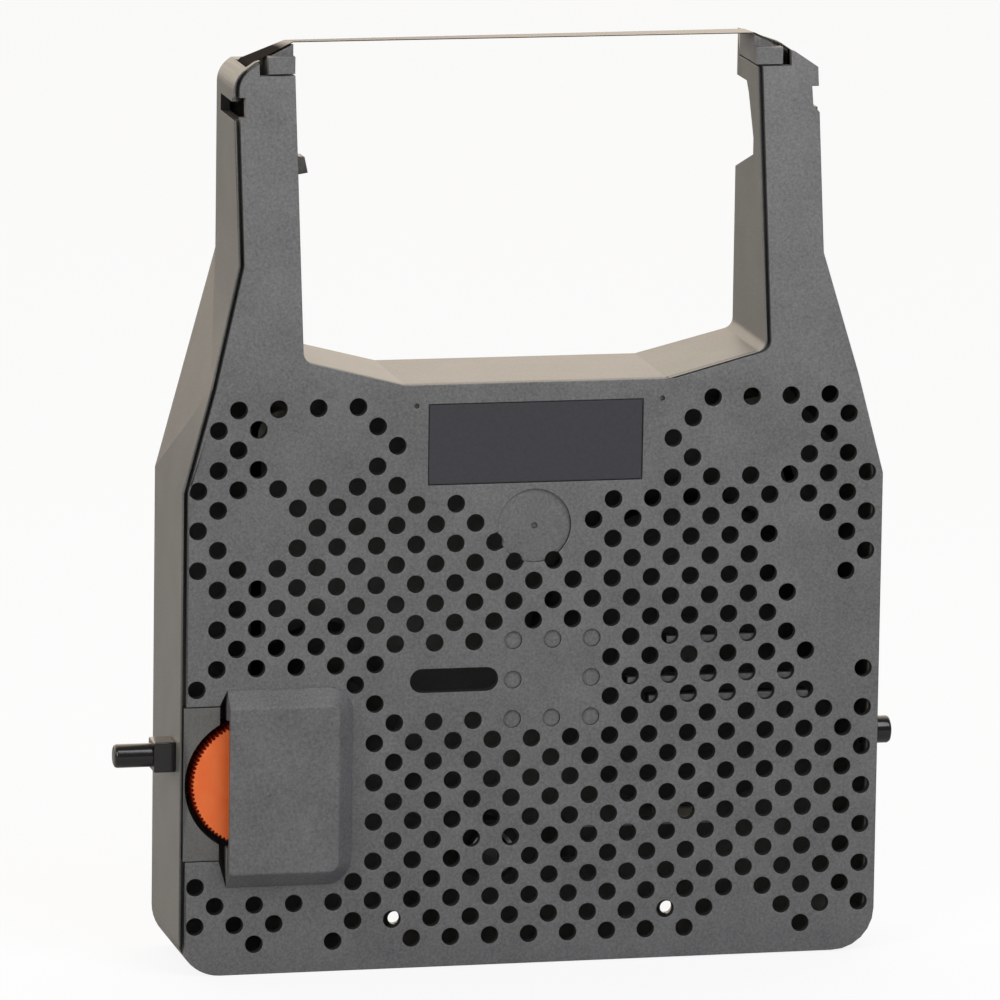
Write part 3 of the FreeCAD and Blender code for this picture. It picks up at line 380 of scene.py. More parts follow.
def cover_shape():
    # The pierced plate, whose arms lean back, with the hood and a floor behind each recess and mark.
    back = COVER_FACE + COVER_WALL
    holes = hole_places()
    gate_holes = [hole for hole in holes if math.dist(hole, GATE_PLACE) < GATE_RADIUS + HOLE_RADIUS]
    pocket, pocket_floor = gate_loops(gate_holes)
    slot = arc((SLOT_RIGHT, SLOT_HEIGHT), SLOT_RADIUS, -90, 90, 10)
    slot += arc((SLOT_LEFT, SLOT_HEIGHT), SLOT_RADIUS, 90, 270, 10)
    around = [(across, up) for across in (-2, 0, 2) for up in (-2, 0, 2) if across or up]
    dimples = [((DIMPLE_MIDDLE[0] + across) * HOLE_STEP, HOLE_ROW_ZERO + (DIMPLE_MIDDLE[1] + up) * HOLE_STEP)
               for across, up in around]
    loops = [cover_outline(), label_loop(LABEL_PLAY), pocket, slot]
    loops += [ring(hole, HOLE_RADIUS, HOLE_SIDES) for hole in holes if hole not in gate_holes]
    loops += [ring(place, HOLE_RADIUS, HOLE_SIDES) for place in dimples]
    loops += [ring(mark, MARK_RADIUS, 10) for mark in SMALL_MARKS]
    plate = flat_shape(loops, COVER_FACE, back, COVER_EDGE)
    bmesh.ops.bisect_plane(plate, geom=plate.verts[:] + plate.edges[:] + plate.faces[:], dist=1e-7,
                           plane_co=(0, 0, ARM_BEND * MM), plane_no=(0, 0, 1))
    for vertex in plate.verts:
        vertex.co.y += max(vertex.co.z - ARM_BEND * MM, 0) * ARM_LEAN
    recess_floor = flat_shape([label_loop(LABEL_PLAY + FLOOR_LAP)], COVER_FACE + RECESS_DEPTH, back, FLOOR_EDGE)
    gate_floor = flat_shape([pocket_floor, ring(GATE_PLACE, NIB_RADIUS, 12)], COVER_FACE + GATE_DEPTH, back,
                            FLOOR_EDGE)
    for vertex in gate_floor.verts:
        vertex.co.y += vertex.co.x * GATE_TILT
    nib = flat_shape([ring(GATE_PLACE, NIB_RADIUS + 0.05, 12)], COVER_FACE + NIB_DEPTH, back, 0.02)
    parts = [plate, hood_shape(), recess_floor, gate_floor, nib]
    for place in dimples:
        floor_ring = ring(place, HOLE_RADIUS + 0.1, HOLE_SIDES)
        parts.append(flat_shape([floor_ring], COVER_FACE + DIMPLE_DEPTH, back, FLOOR_EDGE))
    for mark in SMALL_MARKS:
        parts.append(flat_shape([ring(mark, MARK_RADIUS + 0.05, 10)], COVER_FACE + RECESS_DEPTH, back, 0.02))
    hood_face = COVER_FACE - HOOD_RISE
    hood_mark = ring(HOOD_MARK, HOOD_MARK_RADIUS, 12)
    parts.append(flat_shape([hood_mark], hood_face - 0.12, hood_face + 0.5, FLOOR_EDGE))
    for left, right, foot in INNER_RIBS:
        high = (right, back + RIB_DEPTH, foot + RIB_THICKNESS)
        parts.append(box_shape((left, back - 0.2, foot), high, 0.15))
    return combined(parts)


# ABS moulded in a spark-eroded tool: matt, with a fine grain that breaks up the light.
# The grain is 0.45 mm, about twice the real one, so that it shows; a slow mottle of 9 mm lies under it.
def moulded_abs(name, colour, light_fleck, roughness, grain=0.45, depth=0.02, edge=0.0):
    material, tree = blank_material(name)
    place = add(tree, "TexCoord").outputs["Object"]
    fine = add(tree, "TexNoise", Vector=place, Scale=1 / (grain * MM), Detail=3.0, Roughness=0.6)
    slow = add(tree, "TexNoise", Vector=place, Scale=1 / (ABS_MOTTLE * MM), Detail=2.0)
    blend = add(tree, "Math", {"operation": "MULTIPLY_ADD"})
    tree.links.new(slow.outputs["Fac"], blend.inputs[0])
    blend.inputs[1].default_value = ABS_MOTTLE_SHARE
    tree.links.new(fine.outputs["Fac"], blend.inputs[2])
    ramp = add(tree, "ValToRGB", Fac=blend.outputs[0])
    for element, position, tone in zip(ramp.color_ramp.elements, ABS_TONE_RANGE, (colour, light_fleck)):
        element.position = position
        element.color = linear(tone)
    bump = add(tree, "Bump", Height=fine.outputs["Fac"], Strength=0.5, Distance=depth * MM)
    if edge:
        rounded = add(tree, "Bevel", {"samples": 4}, Radius=edge * MM)
        tree.links.new(rounded.outputs["Normal"], bump.inputs["Normal"])
    shader = add(tree, "BsdfPrincipled", Base_Color=ramp.outputs["Color"], Roughness=roughness, IOR=1.5,
                 Normal=bump.outputs["Normal"])
    add(tree, "OutputMaterial", Surface=shader.outputs["BSDF"])
    return material


cover_plastic = moulded_abs("grey_abs_spark_grain", "#5c5d5e", "#7e7e7f", 0.55)
# The second material is a near-black copy of the ABS: painted shade on the walls of holes and in the left latch
# slot.
painted_shade_plastic = moulded_abs("grey_abs_painted_shade", "#141514", "#232423", 0.8)
cover = piece("cover_shell", cover_shape(), cover_plastic, "housing", "perforated_cover")
cover.data.materials.append(painted_shade_plastic)

# TRAY
# The rear shell with both arms, in the same ABS; its smoother walls take more sheen. All that is inside is
# mounted on its back plate. Latch slots are cut in the outside of both arms, and a step behind the left tip
# leaves the film's edge free.
LATCH_SLOT = (-53.4, -3.4, 150.4), (-50.5, 8.85, 153.4)
RIGHT_LATCH_SLOT = (51.2, -4.0, 150.4), (53.5, 13.5, 154.3)
TIP_STEP = (-51.0, 8.75, 159.2), (-40.9, 13.0, 165.0)
CUT_EDGE = 0.05
EDGE_SOFTNESS = 0.2


def cut_copy(source, boxes):
    # The CAD node's own mesh, closed and with boxes cut out; the left latch slot takes the second material,
    # which is painted shade.
    shape = bmesh.new()
    shape.from_mesh(nodes[source].data)
    shape.transform(nodes[source].matrix_world)
    bmesh.ops.remove_doubles(shape, verts=shape.verts, dist=0.001 * MM)
    objects = []
    for part in [shape] + [box_shape(low, high, CUT_EDGE) for low, high in boxes]:
        mesh = bpy.data.meshes.new("cut")
        part.to_mesh(mesh)
        part.free()
        objects.append(bpy.data.objects.new("cut", mesh))
        bpy.context.collection.objects.link(objects[-1])
    for cutter in objects[1:]:
        cut = objects[0].modifiers.new("cut", "BOOLEAN")
        cut.object = cutter
        cut.operation = "DIFFERENCE"
        cut.solver = "EXACT"
    bpy.context.view_layer.update()
    done = bpy.data.meshes.new_from_object(objects[0].evaluated_get(bpy.context.evaluated_depsgraph_get()))
    for used in objects:
        bpy.data.objects.remove(used)
    result = bmesh.new()
    result.from_mesh(done)
    low, high = LATCH_SLOT
    for face in result.faces:
        centre = face.calc_center_median() / MM
        face.material_index = int(all(low[n] < centre[n] < high[n] + 0.01 for n in range(3)))
    return result


tray_plastic = moulded_abs("grey_abs_fine_grain", "#5d5d5b", "#737370", 0.4, 0.35, 0.012, EDGE_SOFTNESS)
tray_shape = cut_copy("base_housing", [LATCH_SLOT, RIGHT_LATCH_SLOT, TIP_STEP])
tray = piece("tray_shell", tray_shape, tray_plastic, "housing", "base_housing", smooth=30)
tray.data.materials.append(painted_shade_plastic)

# LABEL
# A blank dark label of printed polyester film, stuck into a recess of the cover, with a satin face.
# Its print is slightly uneven, in patches of 0.5 mm.
LABEL_FACE, LABEL_BACK = -12.3, -12.0
LABEL_CORNER = 0.5
PRINT_PATCH = 0.5
label_material, tree = blank_material("satin_polyester_label")
place = add(tree, "TexCoord").outputs["Object"]
print_grain = add(tree, "TexNoise", Vector=place, Scale=1 / (PRINT_PATCH * MM), Detail=2.0)
print_tone = add(tree, "ValToRGB", Fac=print_grain.outputs["Fac"])
print_tone.color_ramp.elements[0].color = linear("#36373b")
print_tone.color_ramp.elements[1].color = linear("#43444a")
label_shader = add(tree, "BsdfPrincipled", Base_Color=print_tone.outputs["Color"], Roughness=0.38, IOR=1.5)
add(tree, "OutputMaterial", Surface=label_shader.outputs["BSDF"])
label_outline = softened([corner + (LABEL_CORNER,) for corner in label_loop(0)])
label = piece("label_film", flat_shape([label_outline], LABEL_FACE, LABEL_BACK, FLOOR_EDGE), label_material,
              "housing", "blank_label")

# THUMB WHEEL
# Turned by a fingertip to take up slack: orange acetal with a fine saw-tooth rim, moulded in one.
# Acetal is waxy and a little translucent: its face glows softly, in clouds of 2.5 mm where it flowed into the
# mould. The rim in the gap is painted a deep red, as painted shade.
WHEEL_RADIUS = 11.5
WHEEL_BORE = 3.2
WHEEL_TEETH = 88
WHEEL_TOOTH = 0.32
TOOTH_TIP = (0.42, 0.58)
WHEEL_FACE = -12.8
WHEEL_WIDTH = 4.0
WHEEL_TAPER = 0.35
HUB_RADIUS = 4.5
HUB_RISE = 0.2
ACETAL_FLOW = 2.5


def wheel_shape():
    # The toothed disc, whose rim takes the second material, a deep red painted shade, and a hub that stands a
    # little proud.
    rim = []
    for n in range(WHEEL_TEETH):
        root = WHEEL_RADIUS - WHEEL_TOOTH
        for part, radius in ((0, root), (TOOTH_TIP[0], WHEEL_RADIUS), (TOOTH_TIP[1], WHEEL_RADIUS)):
            turn = 2 * math.pi * (n + part) / WHEEL_TEETH
            rim.append((WHEEL_PLACE[0] + radius * math.cos(turn), WHEEL_PLACE[1] + radius * math.sin(turn)))
    bore = ring(WHEEL_PLACE, WHEEL_BORE, 40)
    disc = flat_shape([rim, bore], WHEEL_FACE, WHEEL_FACE + WHEEL_WIDTH, 0.06, WHEEL_TAPER)
    disc.normal_update()
    for face in disc.faces:
        face.material_index = int(abs(face.normal.y) < 0.6)
    hub = flat_shape([ring(WHEEL_PLACE, HUB_RADIUS, 40), bore], WHEEL_FACE - HUB_RISE, WHEEL_FACE + 0.5, 0.15)
    return combined([disc, hub])


def orange_acetal(name, dark, light):
    material, tree = blank_material(name)
    place = add(tree, "TexCoord").outputs["Object"]
    flow = add(tree, "TexNoise", Vector=place, Scale=1 / (ACETAL_FLOW * MM), Detail=4.0)
    tone = add(tree, "ValToRGB", Fac=flow.outputs["Fac"])
    tone.color_ramp.elements[0].color = linear(dark)
    tone.color_ramp.elements[1].color = linear(light)
    scuff = add(tree, "Bump", Height=flow.outputs["Fac"], Strength=0.3, Distance=0.03 * MM)
    shader = add(tree, "BsdfPrincipled", Base_Color=tone.outputs["Color"], Roughness=0.42, IOR=1.48,
                 Subsurface_Weight=0.3, Subsurface_Scale=0.8 * MM, Normal=scuff.outputs["Normal"])
    add(tree, "OutputMaterial", Surface=shader.outputs["BSDF"])
    return material


wheel = piece("knurled_wheel", wheel_shape(), orange_acetal("orange_acetal_face", "#f87030", "#ff8444"),
              "drive", "thumb_wheel")
# The rim's deep red material is painted shade.
wheel.data.materials.append(orange_acetal("orange_acetal_rim_painted_shade", "#7c1d0c", "#94240f"))

# PIVOT PINS
# The cartridge hangs in the machine's carrier by two round pins at its sides: the left one has a square
# collar, the right one a round one. They are clear polycarbonate tinted dark grey, and their edges let
# light through.
PIN_DEPTH, PIN_HEIGHT = -6.3, 38.8
PIN_ROOT = 61.4
LEFT_PIN_END, LEFT_PIN_RADIUS = -73.7, 2.1
SQUARE_COLLAR_LEFT, SQUARE_COLLAR_HALF = -66.9, 2.7
RIGHT_PIN_END, RIGHT_PIN_RADIUS = 66.8, 2.45
ROUND_COLLAR_END, ROUND_COLLAR_RADIUS = 64.0, 2.95
PIN_HAZE = 1.5


def turned_along_x(profile, y, z, sides=40):
    # A body of revolution about a line along X: the profile gives x and radius in mm.
    shape = bmesh.new()
    rings = []
    for x, radius in profile:
        rings.append([shape.verts.new((x * MM, (y + across) * MM, (z + up) * MM))
                      for across, up in ring((0, 0), max(radius, 0.01), sides)])
    for first, second in zip(rings, rings[1:]):
        for n in range(sides):
            shape.faces.new((first[n], first[(n + 1) % sides], second[(n + 1) % sides], second[n]))
    shape.faces.new(rings[0])
    shape.faces.new(rings[-1])
    return shape


end, radius = LEFT_PIN_END, LEFT_PIN_RADIUS
left_profile = [(-PIN_ROOT, radius), (end + 0.6, radius), (end + 0.25, radius - 0.15),
                (end + 0.07, radius - 0.5), (end, radius - 1.1)]
collar_low = (SQUARE_COLLAR_LEFT, PIN_DEPTH - SQUARE_COLLAR_HALF, PIN_HEIGHT - SQUARE_COLLAR_HALF)
collar_high = (-BODY_HALF, PIN_DEPTH + SQUARE_COLLAR_HALF, PIN_HEIGHT + SQUARE_COLLAR_HALF)
left_pin = combined([
    turned_along_x(left_profile, PIN_DEPTH, PIN_HEIGHT),
    box_shape(collar_low, collar_high, 0.25),
])
end, radius = RIGHT_PIN_END, RIGHT_PIN_RADIUS
right_profile = [
    (PIN_ROOT, radius), (BODY_HALF - 0.01, radius), (BODY_HALF, ROUND_COLLAR_RADIUS),
    (ROUND_COLLAR_END - 0.15, ROUND_COLLAR_RADIUS), (ROUND_COLLAR_END, ROUND_COLLAR_RADIUS - 0.15),
    (ROUND_COLLAR_END + 0.01, radius), (end - 0.6, radius), (end - 0.2, radius - 0.25), (end, radius - 0.85),
]
right_pin = turned_along_x(right_profile, PIN_DEPTH, PIN_HEIGHT)
smoke_material, tree = blank_material("smoke_tinted_polycarbonate")
place = add(tree, "TexCoord").outputs["Object"]
haze = add(tree, "TexNoise", Vector=place, Scale=1 / (PIN_HAZE * MM), Detail=3.0)
tint = add(tree, "ValToRGB", Fac=haze.outputs["Fac"])
tint.color_ramp.elements[0].color = linear("#121110")
tint.color_ramp.elements[1].color = linear("#262422")
smoke_shader = add(tree, "BsdfPrincipled", Base_Color=tint.outputs["Color"], Roughness=0.15, IOR=1.58,
                   Transmission_Weight=0.35)
add(tree, "OutputMaterial", Surface=smoke_shader.outputs["BSDF"])
left_piece = piece("left_peg", left_pin, smoke_material, "housing", "left_pivot_pin")
right_piece = piece("right_peg", right_pin, smoke_material, "housing", "right_pivot_pin")

# TIP GUIDES
# A small moulded block at the end of each arm: the film slides over its sloping back part.
# A low step stands in front of the film, level with the arm's face.
FILM_FRONT, FILM_BACK = 0.5, 8.5
FILM_DROP = {-1: 0.9, 1: 0.5}
FILM_HEIGHT = 163.35
FILM_SLOPE = 0.5
BLOCK_INNER, BLOCK_OUTER = 43.0, 46.1
BLOCK_FOOT, BLOCK_SILL = 152.5, 158.1
BLOCK_BACK = 10.9
STEP_FACE, STEP_RISE = -1.7, 3


def tip_shape(side):
    # The post in the arm, the low step in front of the film, and the part under the film, which slopes
    # outward and drops towards the back.
    throat, inner, outer, sill = THROAT_HALF, BLOCK_INNER, BLOCK_OUTER, BLOCK_SILL
    step_top, film = sill + STEP_RISE, FILM_HEIGHT - 0.3
    bars = (
        ([(inner, BLOCK_FOOT), (outer, BLOCK_FOOT), (outer, sill), (inner, sill)], 0.0, BLOCK_BACK),
        ([(throat, sill), (outer, sill), (outer, step_top), (throat, step_top)], STEP_FACE, FILM_FRONT),
        ([(throat, sill), (outer, sill), (outer, film - FILM_SLOPE * (outer - throat)), (throat, film)],
         FILM_FRONT - 0.3, BLOCK_BACK),
    )
    shapes = []
    for corners, front, back in bars:
        loop = [(side * x, z) for x, z in corners]
        shapes.append(flat_shape([loop], front, back, 0.12))
    whole = combined(shapes)
    for vertex in whole.verts:
        depth = (vertex.co.y / MM - FILM_FRONT) / (FILM_BACK - FILM_FRONT)
        if vertex.co.z > (sill + 1) * MM and depth > 0:
            vertex.co.z -= FILM_DROP[side] * depth * MM
    return whole


for side, name in ((-1, "left"), (1, "right")):
    guide = piece(name + "_tip_block", tip_shape(side), cover_plastic, "housing", name + "_tip_guide")

# FILM
# Polyester film with a carbon coat, 8 mm wide, taut from roll to roll over both tips; it leans back a little.
# Its smooth face takes a pale sheen at a low angle. Past the tips' corners a mask by position makes it almost
# wholly matt black: painted shade.
FILM_THICKNESS = 0.15
FILM_CLEARANCE = 0.3
FILM_ROLLER_PLACE, FILM_ROLLER_RADIUS = (42.5, 93.8), 3.5
FILM_SHOULDER = 49.6
FILM_LEAN_FOOT = 159.5
STRAND_STRETCHES = 24
FILM_STREAK = 3
# How much of the film is matt black: on the strand, and past the corners as painted shade.
MATT_SHARE = (0.3, 0.97)


def box_of(name):
    # A round CAD node's middle, as x and z, and its radius in mm.
    low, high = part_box(name)
    centre = ((low[0] + high[0]) / 2 / MM, (low[2] + high[2]) / 2 / MM)
    return centre, (high[0] - low[0]) / 2 / MM


def touch(place, middle, radius, side):
    # Where a line from the place touches a circle, on its left side (1) or its right side (-1).
    across, up = place[0] - middle[0], place[1] - middle[1]
    turn = math.atan2(up, across) + side * math.acos(radius / math.hypot(across, up))
    return middle[0] + radius * math.cos(turn), middle[1] + radius * math.sin(turn)


def film_shape():
    # A strip along one softened line, from the take-up roll over both tips to the supply roll.
    thickness, height, throat = FILM_THICKNESS, FILM_HEIGHT, THROAT_HALF
    away = FILM_CLEARANCE + thickness
    takeup, takeup_radius = box_of("takeup_roll")
    supply, supply_radius = box_of("supply_roll")
    guide_x, guide_z = FILM_ROLLER_PLACE[0] + FILM_ROLLER_RADIUS + away, FILM_ROLLER_PLACE[1]
    shoulder_x, shoulder_z = FILM_SHOULDER, height - FILM_SLOPE * (FILM_SHOULDER - throat)
    start = touch((-guide_x, guide_z), takeup, takeup_radius + away, 1)
    end = touch((guide_x, guide_z), supply, supply_radius + away, -1)
    knots = [start, (-guide_x, guide_z, 3.6), (-shoulder_x, shoulder_z, 1.2), (-throat, height, 0.5),
             (throat, height, 0.5), (shoulder_x, shoulder_z, 1.2), (guide_x, guide_z, 3.6), end]
    line = softened(knots, 5)
    spans = []
    for n, (x, z) in enumerate(line[:-1]):
        spans.append((x, z))
        across = line[n + 1][0] - x
        if abs(x + throat) < 1 and line[n + 1][0] > throat - 1:
            spans += [(x + across * k / STRAND_STRETCHES, z) for k in range(1, STRAND_STRETCHES)]
    spans.append(line[-1])
    shape = bmesh.new()
    rows = []
    for n, (x, z) in enumerate(spans):
        before, after = spans[max(n - 1, 0)], spans[min(n + 1, len(spans) - 1)]
        along = Vector((after[0] - before[0], after[1] - before[1])).normalized()
        out = Vector((-along.y, along.x)) * thickness
        share = (x + throat) / (2 * throat)
        lean = FILM_DROP[-1] + (FILM_DROP[1] - FILM_DROP[-1]) * min(max(share, 0), 1)
        lean *= min(max((z - FILM_LEAN_FOOT) / (height - FILM_LEAN_FOOT), 0), 1)
        row = []
        for lift in (0, 1):
            for y, drop in ((FILM_FRONT, 0), (FILM_BACK, lean)):
                row.append(shape.verts.new(((x + out.x * lift) * MM, y * MM, (z + out.y * lift - drop) * MM)))
        rows.append(row)
    for first, second in zip(rows, rows[1:]):
        for a, b in ((0, 1), (1, 3), (3, 2), (2, 0)):
            shape.faces.new((first[a], first[b], second[b], second[a]))
    for row in (rows[0], rows[-1]):
        shape.faces.new((row[0], row[1], row[3], row[2]))
    return shape


film_material, tree = blank_material("carbon_coated_polyester_film")
place = add(tree, "TexCoord").outputs["Object"]
streak = add(tree, "TexNoise", Vector=place, Scale=1 / (FILM_STREAK * MM), Detail=2.0)
film_tone = add(tree, "ValToRGB", Fac=streak.outputs["Fac"])
film_tone.color_ramp.elements[0].color = linear("#1d1916")
film_tone.color_ramp.elements[1].color = linear("#2b2520")
film_shader = add(tree, "BsdfPrincipled", Base_Color=film_tone.outputs["Color"], Roughness=0.22, IOR=1.64)
carbon = add(tree, "BsdfDiffuse", Color=linear("#1b1817"))
film_across = add(tree, "Math", {"operation": "ABSOLUTE"})
tree.links.new(add(tree, "SeparateXYZ", Vector=place).outputs["X"], film_across.inputs[0])
# Past the tips' corners the film turns matt black by position: painted shade.
painted_shade_past_corners = add(tree, "MapRange", Value=film_across.outputs[0], From_Min=(THROAT_HALF + 0.5) * MM,
             From_Max=(THROAT_HALF + 2.5) * MM, To_Min=MATT_SHARE[0], To_Max=MATT_SHARE[1])
film_mix = add(tree, "MixShader", Fac=painted_shade_past_corners.outputs[0])
tree.links.new(film_shader.outputs[0], film_mix.inputs[1])
tree.links.new(carbon.outputs[0], film_mix.inputs[2])
add(tree, "OutputMaterial", Surface=film_mix.outputs[0])
film = piece("film_strand", film_shape(), film_material, "housing", "ribbon_run", smooth=30)

# FILM ROLLS
# Many turns of the same film: seen from the side they show fine concentric lines where the edges lie uneven.
# The lines are 1.1 mm apart, many times the film's thickness, so that they show.
WOUND_LINE = 1.131



def wound_film(name, roll):
    material, tree = blank_material(name)
    (x, z), radius = box_of(roll)
    place = add(tree, "TexCoord").outputs["Object"]
    from_axis = add(tree, "VectorMath", {"operation": "SUBTRACT"})
    tree.links.new(place, from_axis.inputs[0])
    from_axis.inputs[1].default_value = (x * MM, 0, z * MM)
    flat = add(tree, "VectorMath", {"operation": "MULTIPLY"})
    tree.links.new(from_axis.outputs[0], flat.inputs[0])
    flat.inputs[1].default_value = (1, 0, 1)
    turns = add(tree, "TexWave", {"wave_type": "RINGS", "rings_direction": "SPHERICAL"}, Vector=flat.outputs[0],
                Scale=math.pi / 10 / (WOUND_LINE * MM), Distortion=0.6, Detail=2.0)
    ramp = add(tree, "ValToRGB", Fac=turns.outputs["Fac"])
    ramp.color_ramp.elements[0].color = linear("#0d0c0b")
    ramp.color_ramp.elements[1].color = linear("#1a1816")
    edge = add(tree, "Bump", Height=turns.outputs["Fac"], Strength=0.3, Distance=0.03 * MM)
    shader = add(tree, "BsdfPrincipled", Base_Color=ramp.outputs["Color"], Roughness=0.4, IOR=1.6,
                 Normal=edge.outputs["Normal"])
    add(tree, "OutputMaterial", Surface=shader.outputs["BSDF"])
    return material


def finish(names, material):
    # Gives CAD nodes that are shown as they are their material.
    for name in names:
        nodes[name].data.materials.clear()
        nodes[name].data.materials.append(material)


finish(["supply_roll"], wound_film("wound_film_supply", "supply_roll"))
finish(["takeup_roll"], wound_film("wound_film_takeup", "takeup_roll"))

# INNER MOULDINGS
# Spool cores and guide rollers are natural acetal, off-white and waxy; the arm, the shaft and the spiked roller
# are the same plastic in black, which hides the carbon dust.
ACETAL_CLOUD = 2


def acetal(name, dark, light):
    material, tree = blank_material(name)
    place = add(tree, "TexCoord").outputs["Object"]
    cloud = add(tree, "TexNoise", Vector=place, Scale=1 / (ACETAL_CLOUD * MM), Detail=3.0)
    ramp = add(tree, "ValToRGB", Fac=cloud.outputs["Fac"])
    ramp.color_ramp.elements[0].color = linear(dark)
    ramp.color_ramp.elements[1].color = linear(light)
    bump = add(tree, "Bump", Height=cloud.outputs["Fac"], Strength=0.2, Distance=0.02 * MM)
    shader = add(tree, "BsdfPrincipled", Base_Color=ramp.outputs["Color"], Roughness=0.4, IOR=1.48,
                 Normal=bump.outputs["Normal"])
    add(tree, "OutputMaterial", Surface=shader.outputs["BSDF"])
    return material


finish(["left_guide_roller", "right_guide_roller"], acetal("natural_acetal", "#c9c4b6", "#dcd8cb"))
finish(["supply_core", "takeup_core"], acetal("dark_acetal_core", "#2a2926", "#3a3834"))
finish(["takeup_arm", "drive_shaft", "drive_roller"], acetal("black_acetal", "#161616", "#232322"))

# SMALL STEEL PARTS
# The brake's leaf, the arm's coil and the guide pins are bright drawn steel. Fine lines follow the leaf and
# the coil, 0.1 mm apart and 1.2 mm long: coarser than the real ones, so that they show.
DRAWN_LINE_LENGTH = 1.2
DRAWN_LINES_PER_LENGTH = 12
steel, tree = blank_material("drawn_spring_steel")
place = add(tree, "TexCoord").outputs["Object"]
stretched = add(tree, "Mapping", Vector=place, Scale=(1, DRAWN_LINES_PER_LENGTH, 1))
lines = add(tree, "TexNoise", Vector=stretched.outputs["Vector"], Scale=1 / (DRAWN_LINE_LENGTH * MM),
            Detail=3.0)
steel_tone = add(tree, "ValToRGB", Fac=lines.outputs["Fac"])
steel_tone.color_ramp.elements[0].color = linear("#a9a8a4")
steel_tone.color_ramp.elements[1].color = linear("#c4c3c0")
steel_shader = add(tree, "BsdfPrincipled", Base_Color=steel_tone.outputs["Color"], Metallic=1.0, Roughness=0.3)
add(tree, "OutputMaterial", Surface=steel_shader.outputs["BSDF"])
finish(["brake_spring", "arm_spring", "guide_pins"], steel)

# BRAKE PAD
# A pad of pressed wool felt, soft and fibrous, that drags on the supply roll.
# Its fibres lie in tufts of 0.4 mm, coarser than the real ones, so that they show.
FELT_TUFT = 0.4
felt, tree = blank_material("pressed_wool_felt")
place = add(tree, "TexCoord").outputs["Object"]
fibre = add(tree, "TexNoise", Vector=place, Scale=1 / (FELT_TUFT * MM), Detail=6.0, Distortion=1.5)
felt_tone = add(tree, "ValToRGB", Fac=fibre.outputs["Fac"])
felt_tone.color_ramp.elements[0].color = linear("#9c968a")
felt_tone.color_ramp.elements[1].color = linear("#bdb7aa")
nap = add(tree, "Bump", Height=fibre.outputs["Fac"], Strength=0.8, Distance=0.1 * MM)
felt_shader = add(tree, "BsdfPrincipled", Base_Color=felt_tone.outputs["Color"], Roughness=0.95, IOR=1.5,
                  Sheen_Weight=0.3, Normal=nap.outputs["Normal"])
add(tree, "OutputMaterial", Surface=felt_shader.outputs["BSDF"])
finish(["brake_pad"], felt)

# STUDIO
# A white floor that runs out of sight, a large soft lamp to the left and a small one near the front.
# A wide warm backdrop behind puts a beige sheen on whatever faces up; the camera sees plain white there.
FLOOR_HALF = 12
FLOOR_GLOW = 1.16
FLOOR_GLOW_SHARE = 0.75
ROOM_LIGHT = 0.22
BACKDROP_LIGHT = 2.0
BACKDROP_EDGE = 0.7
LAMP_AIM = (0, 0, 0.08)
floor_mesh = bpy.data.meshes.new("floor")
floor_corners = [(x * FLOOR_HALF, y * FLOOR_HALF, 0) for x, y in ((-1, -1), (1, -1), (1, 1), (-1, 1))]
floor_mesh.from_pydata(floor_corners, [], [(0, 1, 2, 3)])
floor = bpy.data.objects.new("floor", floor_mesh)
bpy.context.collection.objects.link(floor)
floor_material, tree = blank_material("white_paper_floor")
paper = add(tree, "BsdfDiffuse", Color=linear("#b4b7bc"))
glow = add(tree, "Emission", Color=linear("#ffffff"), Strength=FLOOR_GLOW)
seen = add(tree, "LightPath")
share = add(tree, "Math", {"operation": "MULTIPLY"})
tree.links.new(seen.outputs["Is Camera Ray"], share.inputs[0])
share.inputs[1].default_value = FLOOR_GLOW_SHARE
floor_mix = add(tree, "MixShader", Fac=share.outputs[0])
tree.links.new(paper.outputs[0], floor_mix.inputs[1])
tree.links.new(glow.outputs[0], floor_mix.inputs[2])
add(tree, "OutputMaterial", Surface=floor_mix.outputs[0])
floor_mesh.materials.append(floor_material)

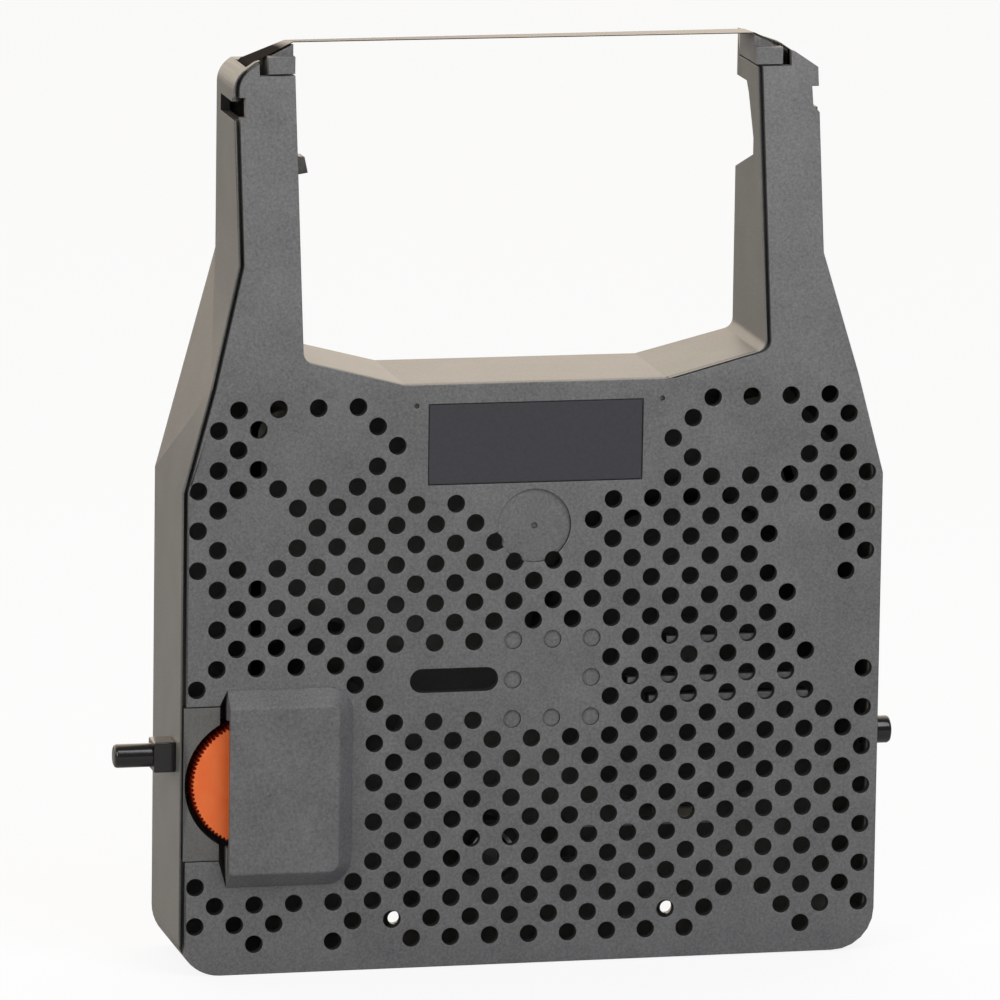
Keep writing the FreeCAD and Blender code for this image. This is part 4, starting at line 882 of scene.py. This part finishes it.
world = bpy.data.worlds.new("studio")
bpy.context.scene.world = world
world.use_nodes = True
tree = world.node_tree
tree.nodes.clear()
toward = add(tree, "SeparateXYZ", Vector=add(tree, "TexCoord").outputs["Generated"])
behind = add(tree, "MapRange", {"interpolation_type": "SMOOTHSTEP"}, Value=toward.outputs["Y"],
             From_Max=BACKDROP_EDGE)
room = add(tree, "Background", Color=linear("#f2f2f4"), Strength=ROOM_LIGHT)
backdrop = add(tree, "Background", Color=linear("#fff0de"), Strength=BACKDROP_LIGHT)
around = add(tree, "MixShader", Fac=behind.outputs[0])
tree.links.new(room.outputs[0], around.inputs[1])
tree.links.new(backdrop.outputs[0], around.inputs[2])
white = add(tree, "Background", Color=linear("#ffffff"), Strength=1.0)
rays = add(tree, "LightPath")
straight = add(tree, "Math", {"operation": "MAXIMUM"})
tree.links.new(rays.outputs["Is Camera Ray"], straight.inputs[0])
tree.links.new(rays.outputs["Is Transmission Ray"], straight.inputs[1])
sky = add(tree, "MixShader", Fac=straight.outputs[0])
tree.links.new(around.outputs[0], sky.inputs[1])
tree.links.new(white.outputs[0], sky.inputs[2])
tree.links.new(sky.outputs[0], add(tree, "OutputWorld").inputs["Surface"])


def soft_lamp(name, place, power, width, colour):
    # A square area lamp turned to the cartridge's middle, which the camera doesn't see.
    lamp = bpy.data.lights.new(name, "AREA")
    lamp.shape = "SQUARE"
    lamp.size = width
    lamp.energy = power
    lamp.color = linear(colour)[:3]
    lit = bpy.data.objects.new(name, lamp)
    lit.location = place
    lit.visible_camera = False
    lit.rotation_euler = (Vector(LAMP_AIM) - Vector(place)).to_track_quat("-Z", "Y").to_euler()
    bpy.context.collection.objects.link(lit)


soft_lamp("left_softbox", (-1.15, -0.9, 0.75), power=11, width=0.9, colour="#fffaf2")
soft_lamp("near_softbox", (0.15, -0.32, 0.42), power=1.1, width=0.3, colour="#fafbff")

# CAMERA
# A long lens, a little to the left of the cartridge and above it, as in the photograph.
FOCAL_PIXELS = 10184.06
PICTURE_PIXELS = 1000
CAMERA_PLACE = (-0.39846, -1.71682, 0.42808)
CAMERA_TURN = (1.37634, -0.014083, -0.22338)
camera_data = bpy.data.cameras.new("camera")
camera_data.sensor_width = 36
camera_data.lens = FOCAL_PIXELS * camera_data.sensor_width / PICTURE_PIXELS
camera_data.clip_end = 50
camera = bpy.data.objects.new("camera", camera_data)
camera.location = CAMERA_PLACE
camera.rotation_euler = CAMERA_TURN
bpy.context.collection.objects.link(camera)
bpy.context.scene.camera = camera
bpy.context.scene.view_settings.view_transform = "Standard"
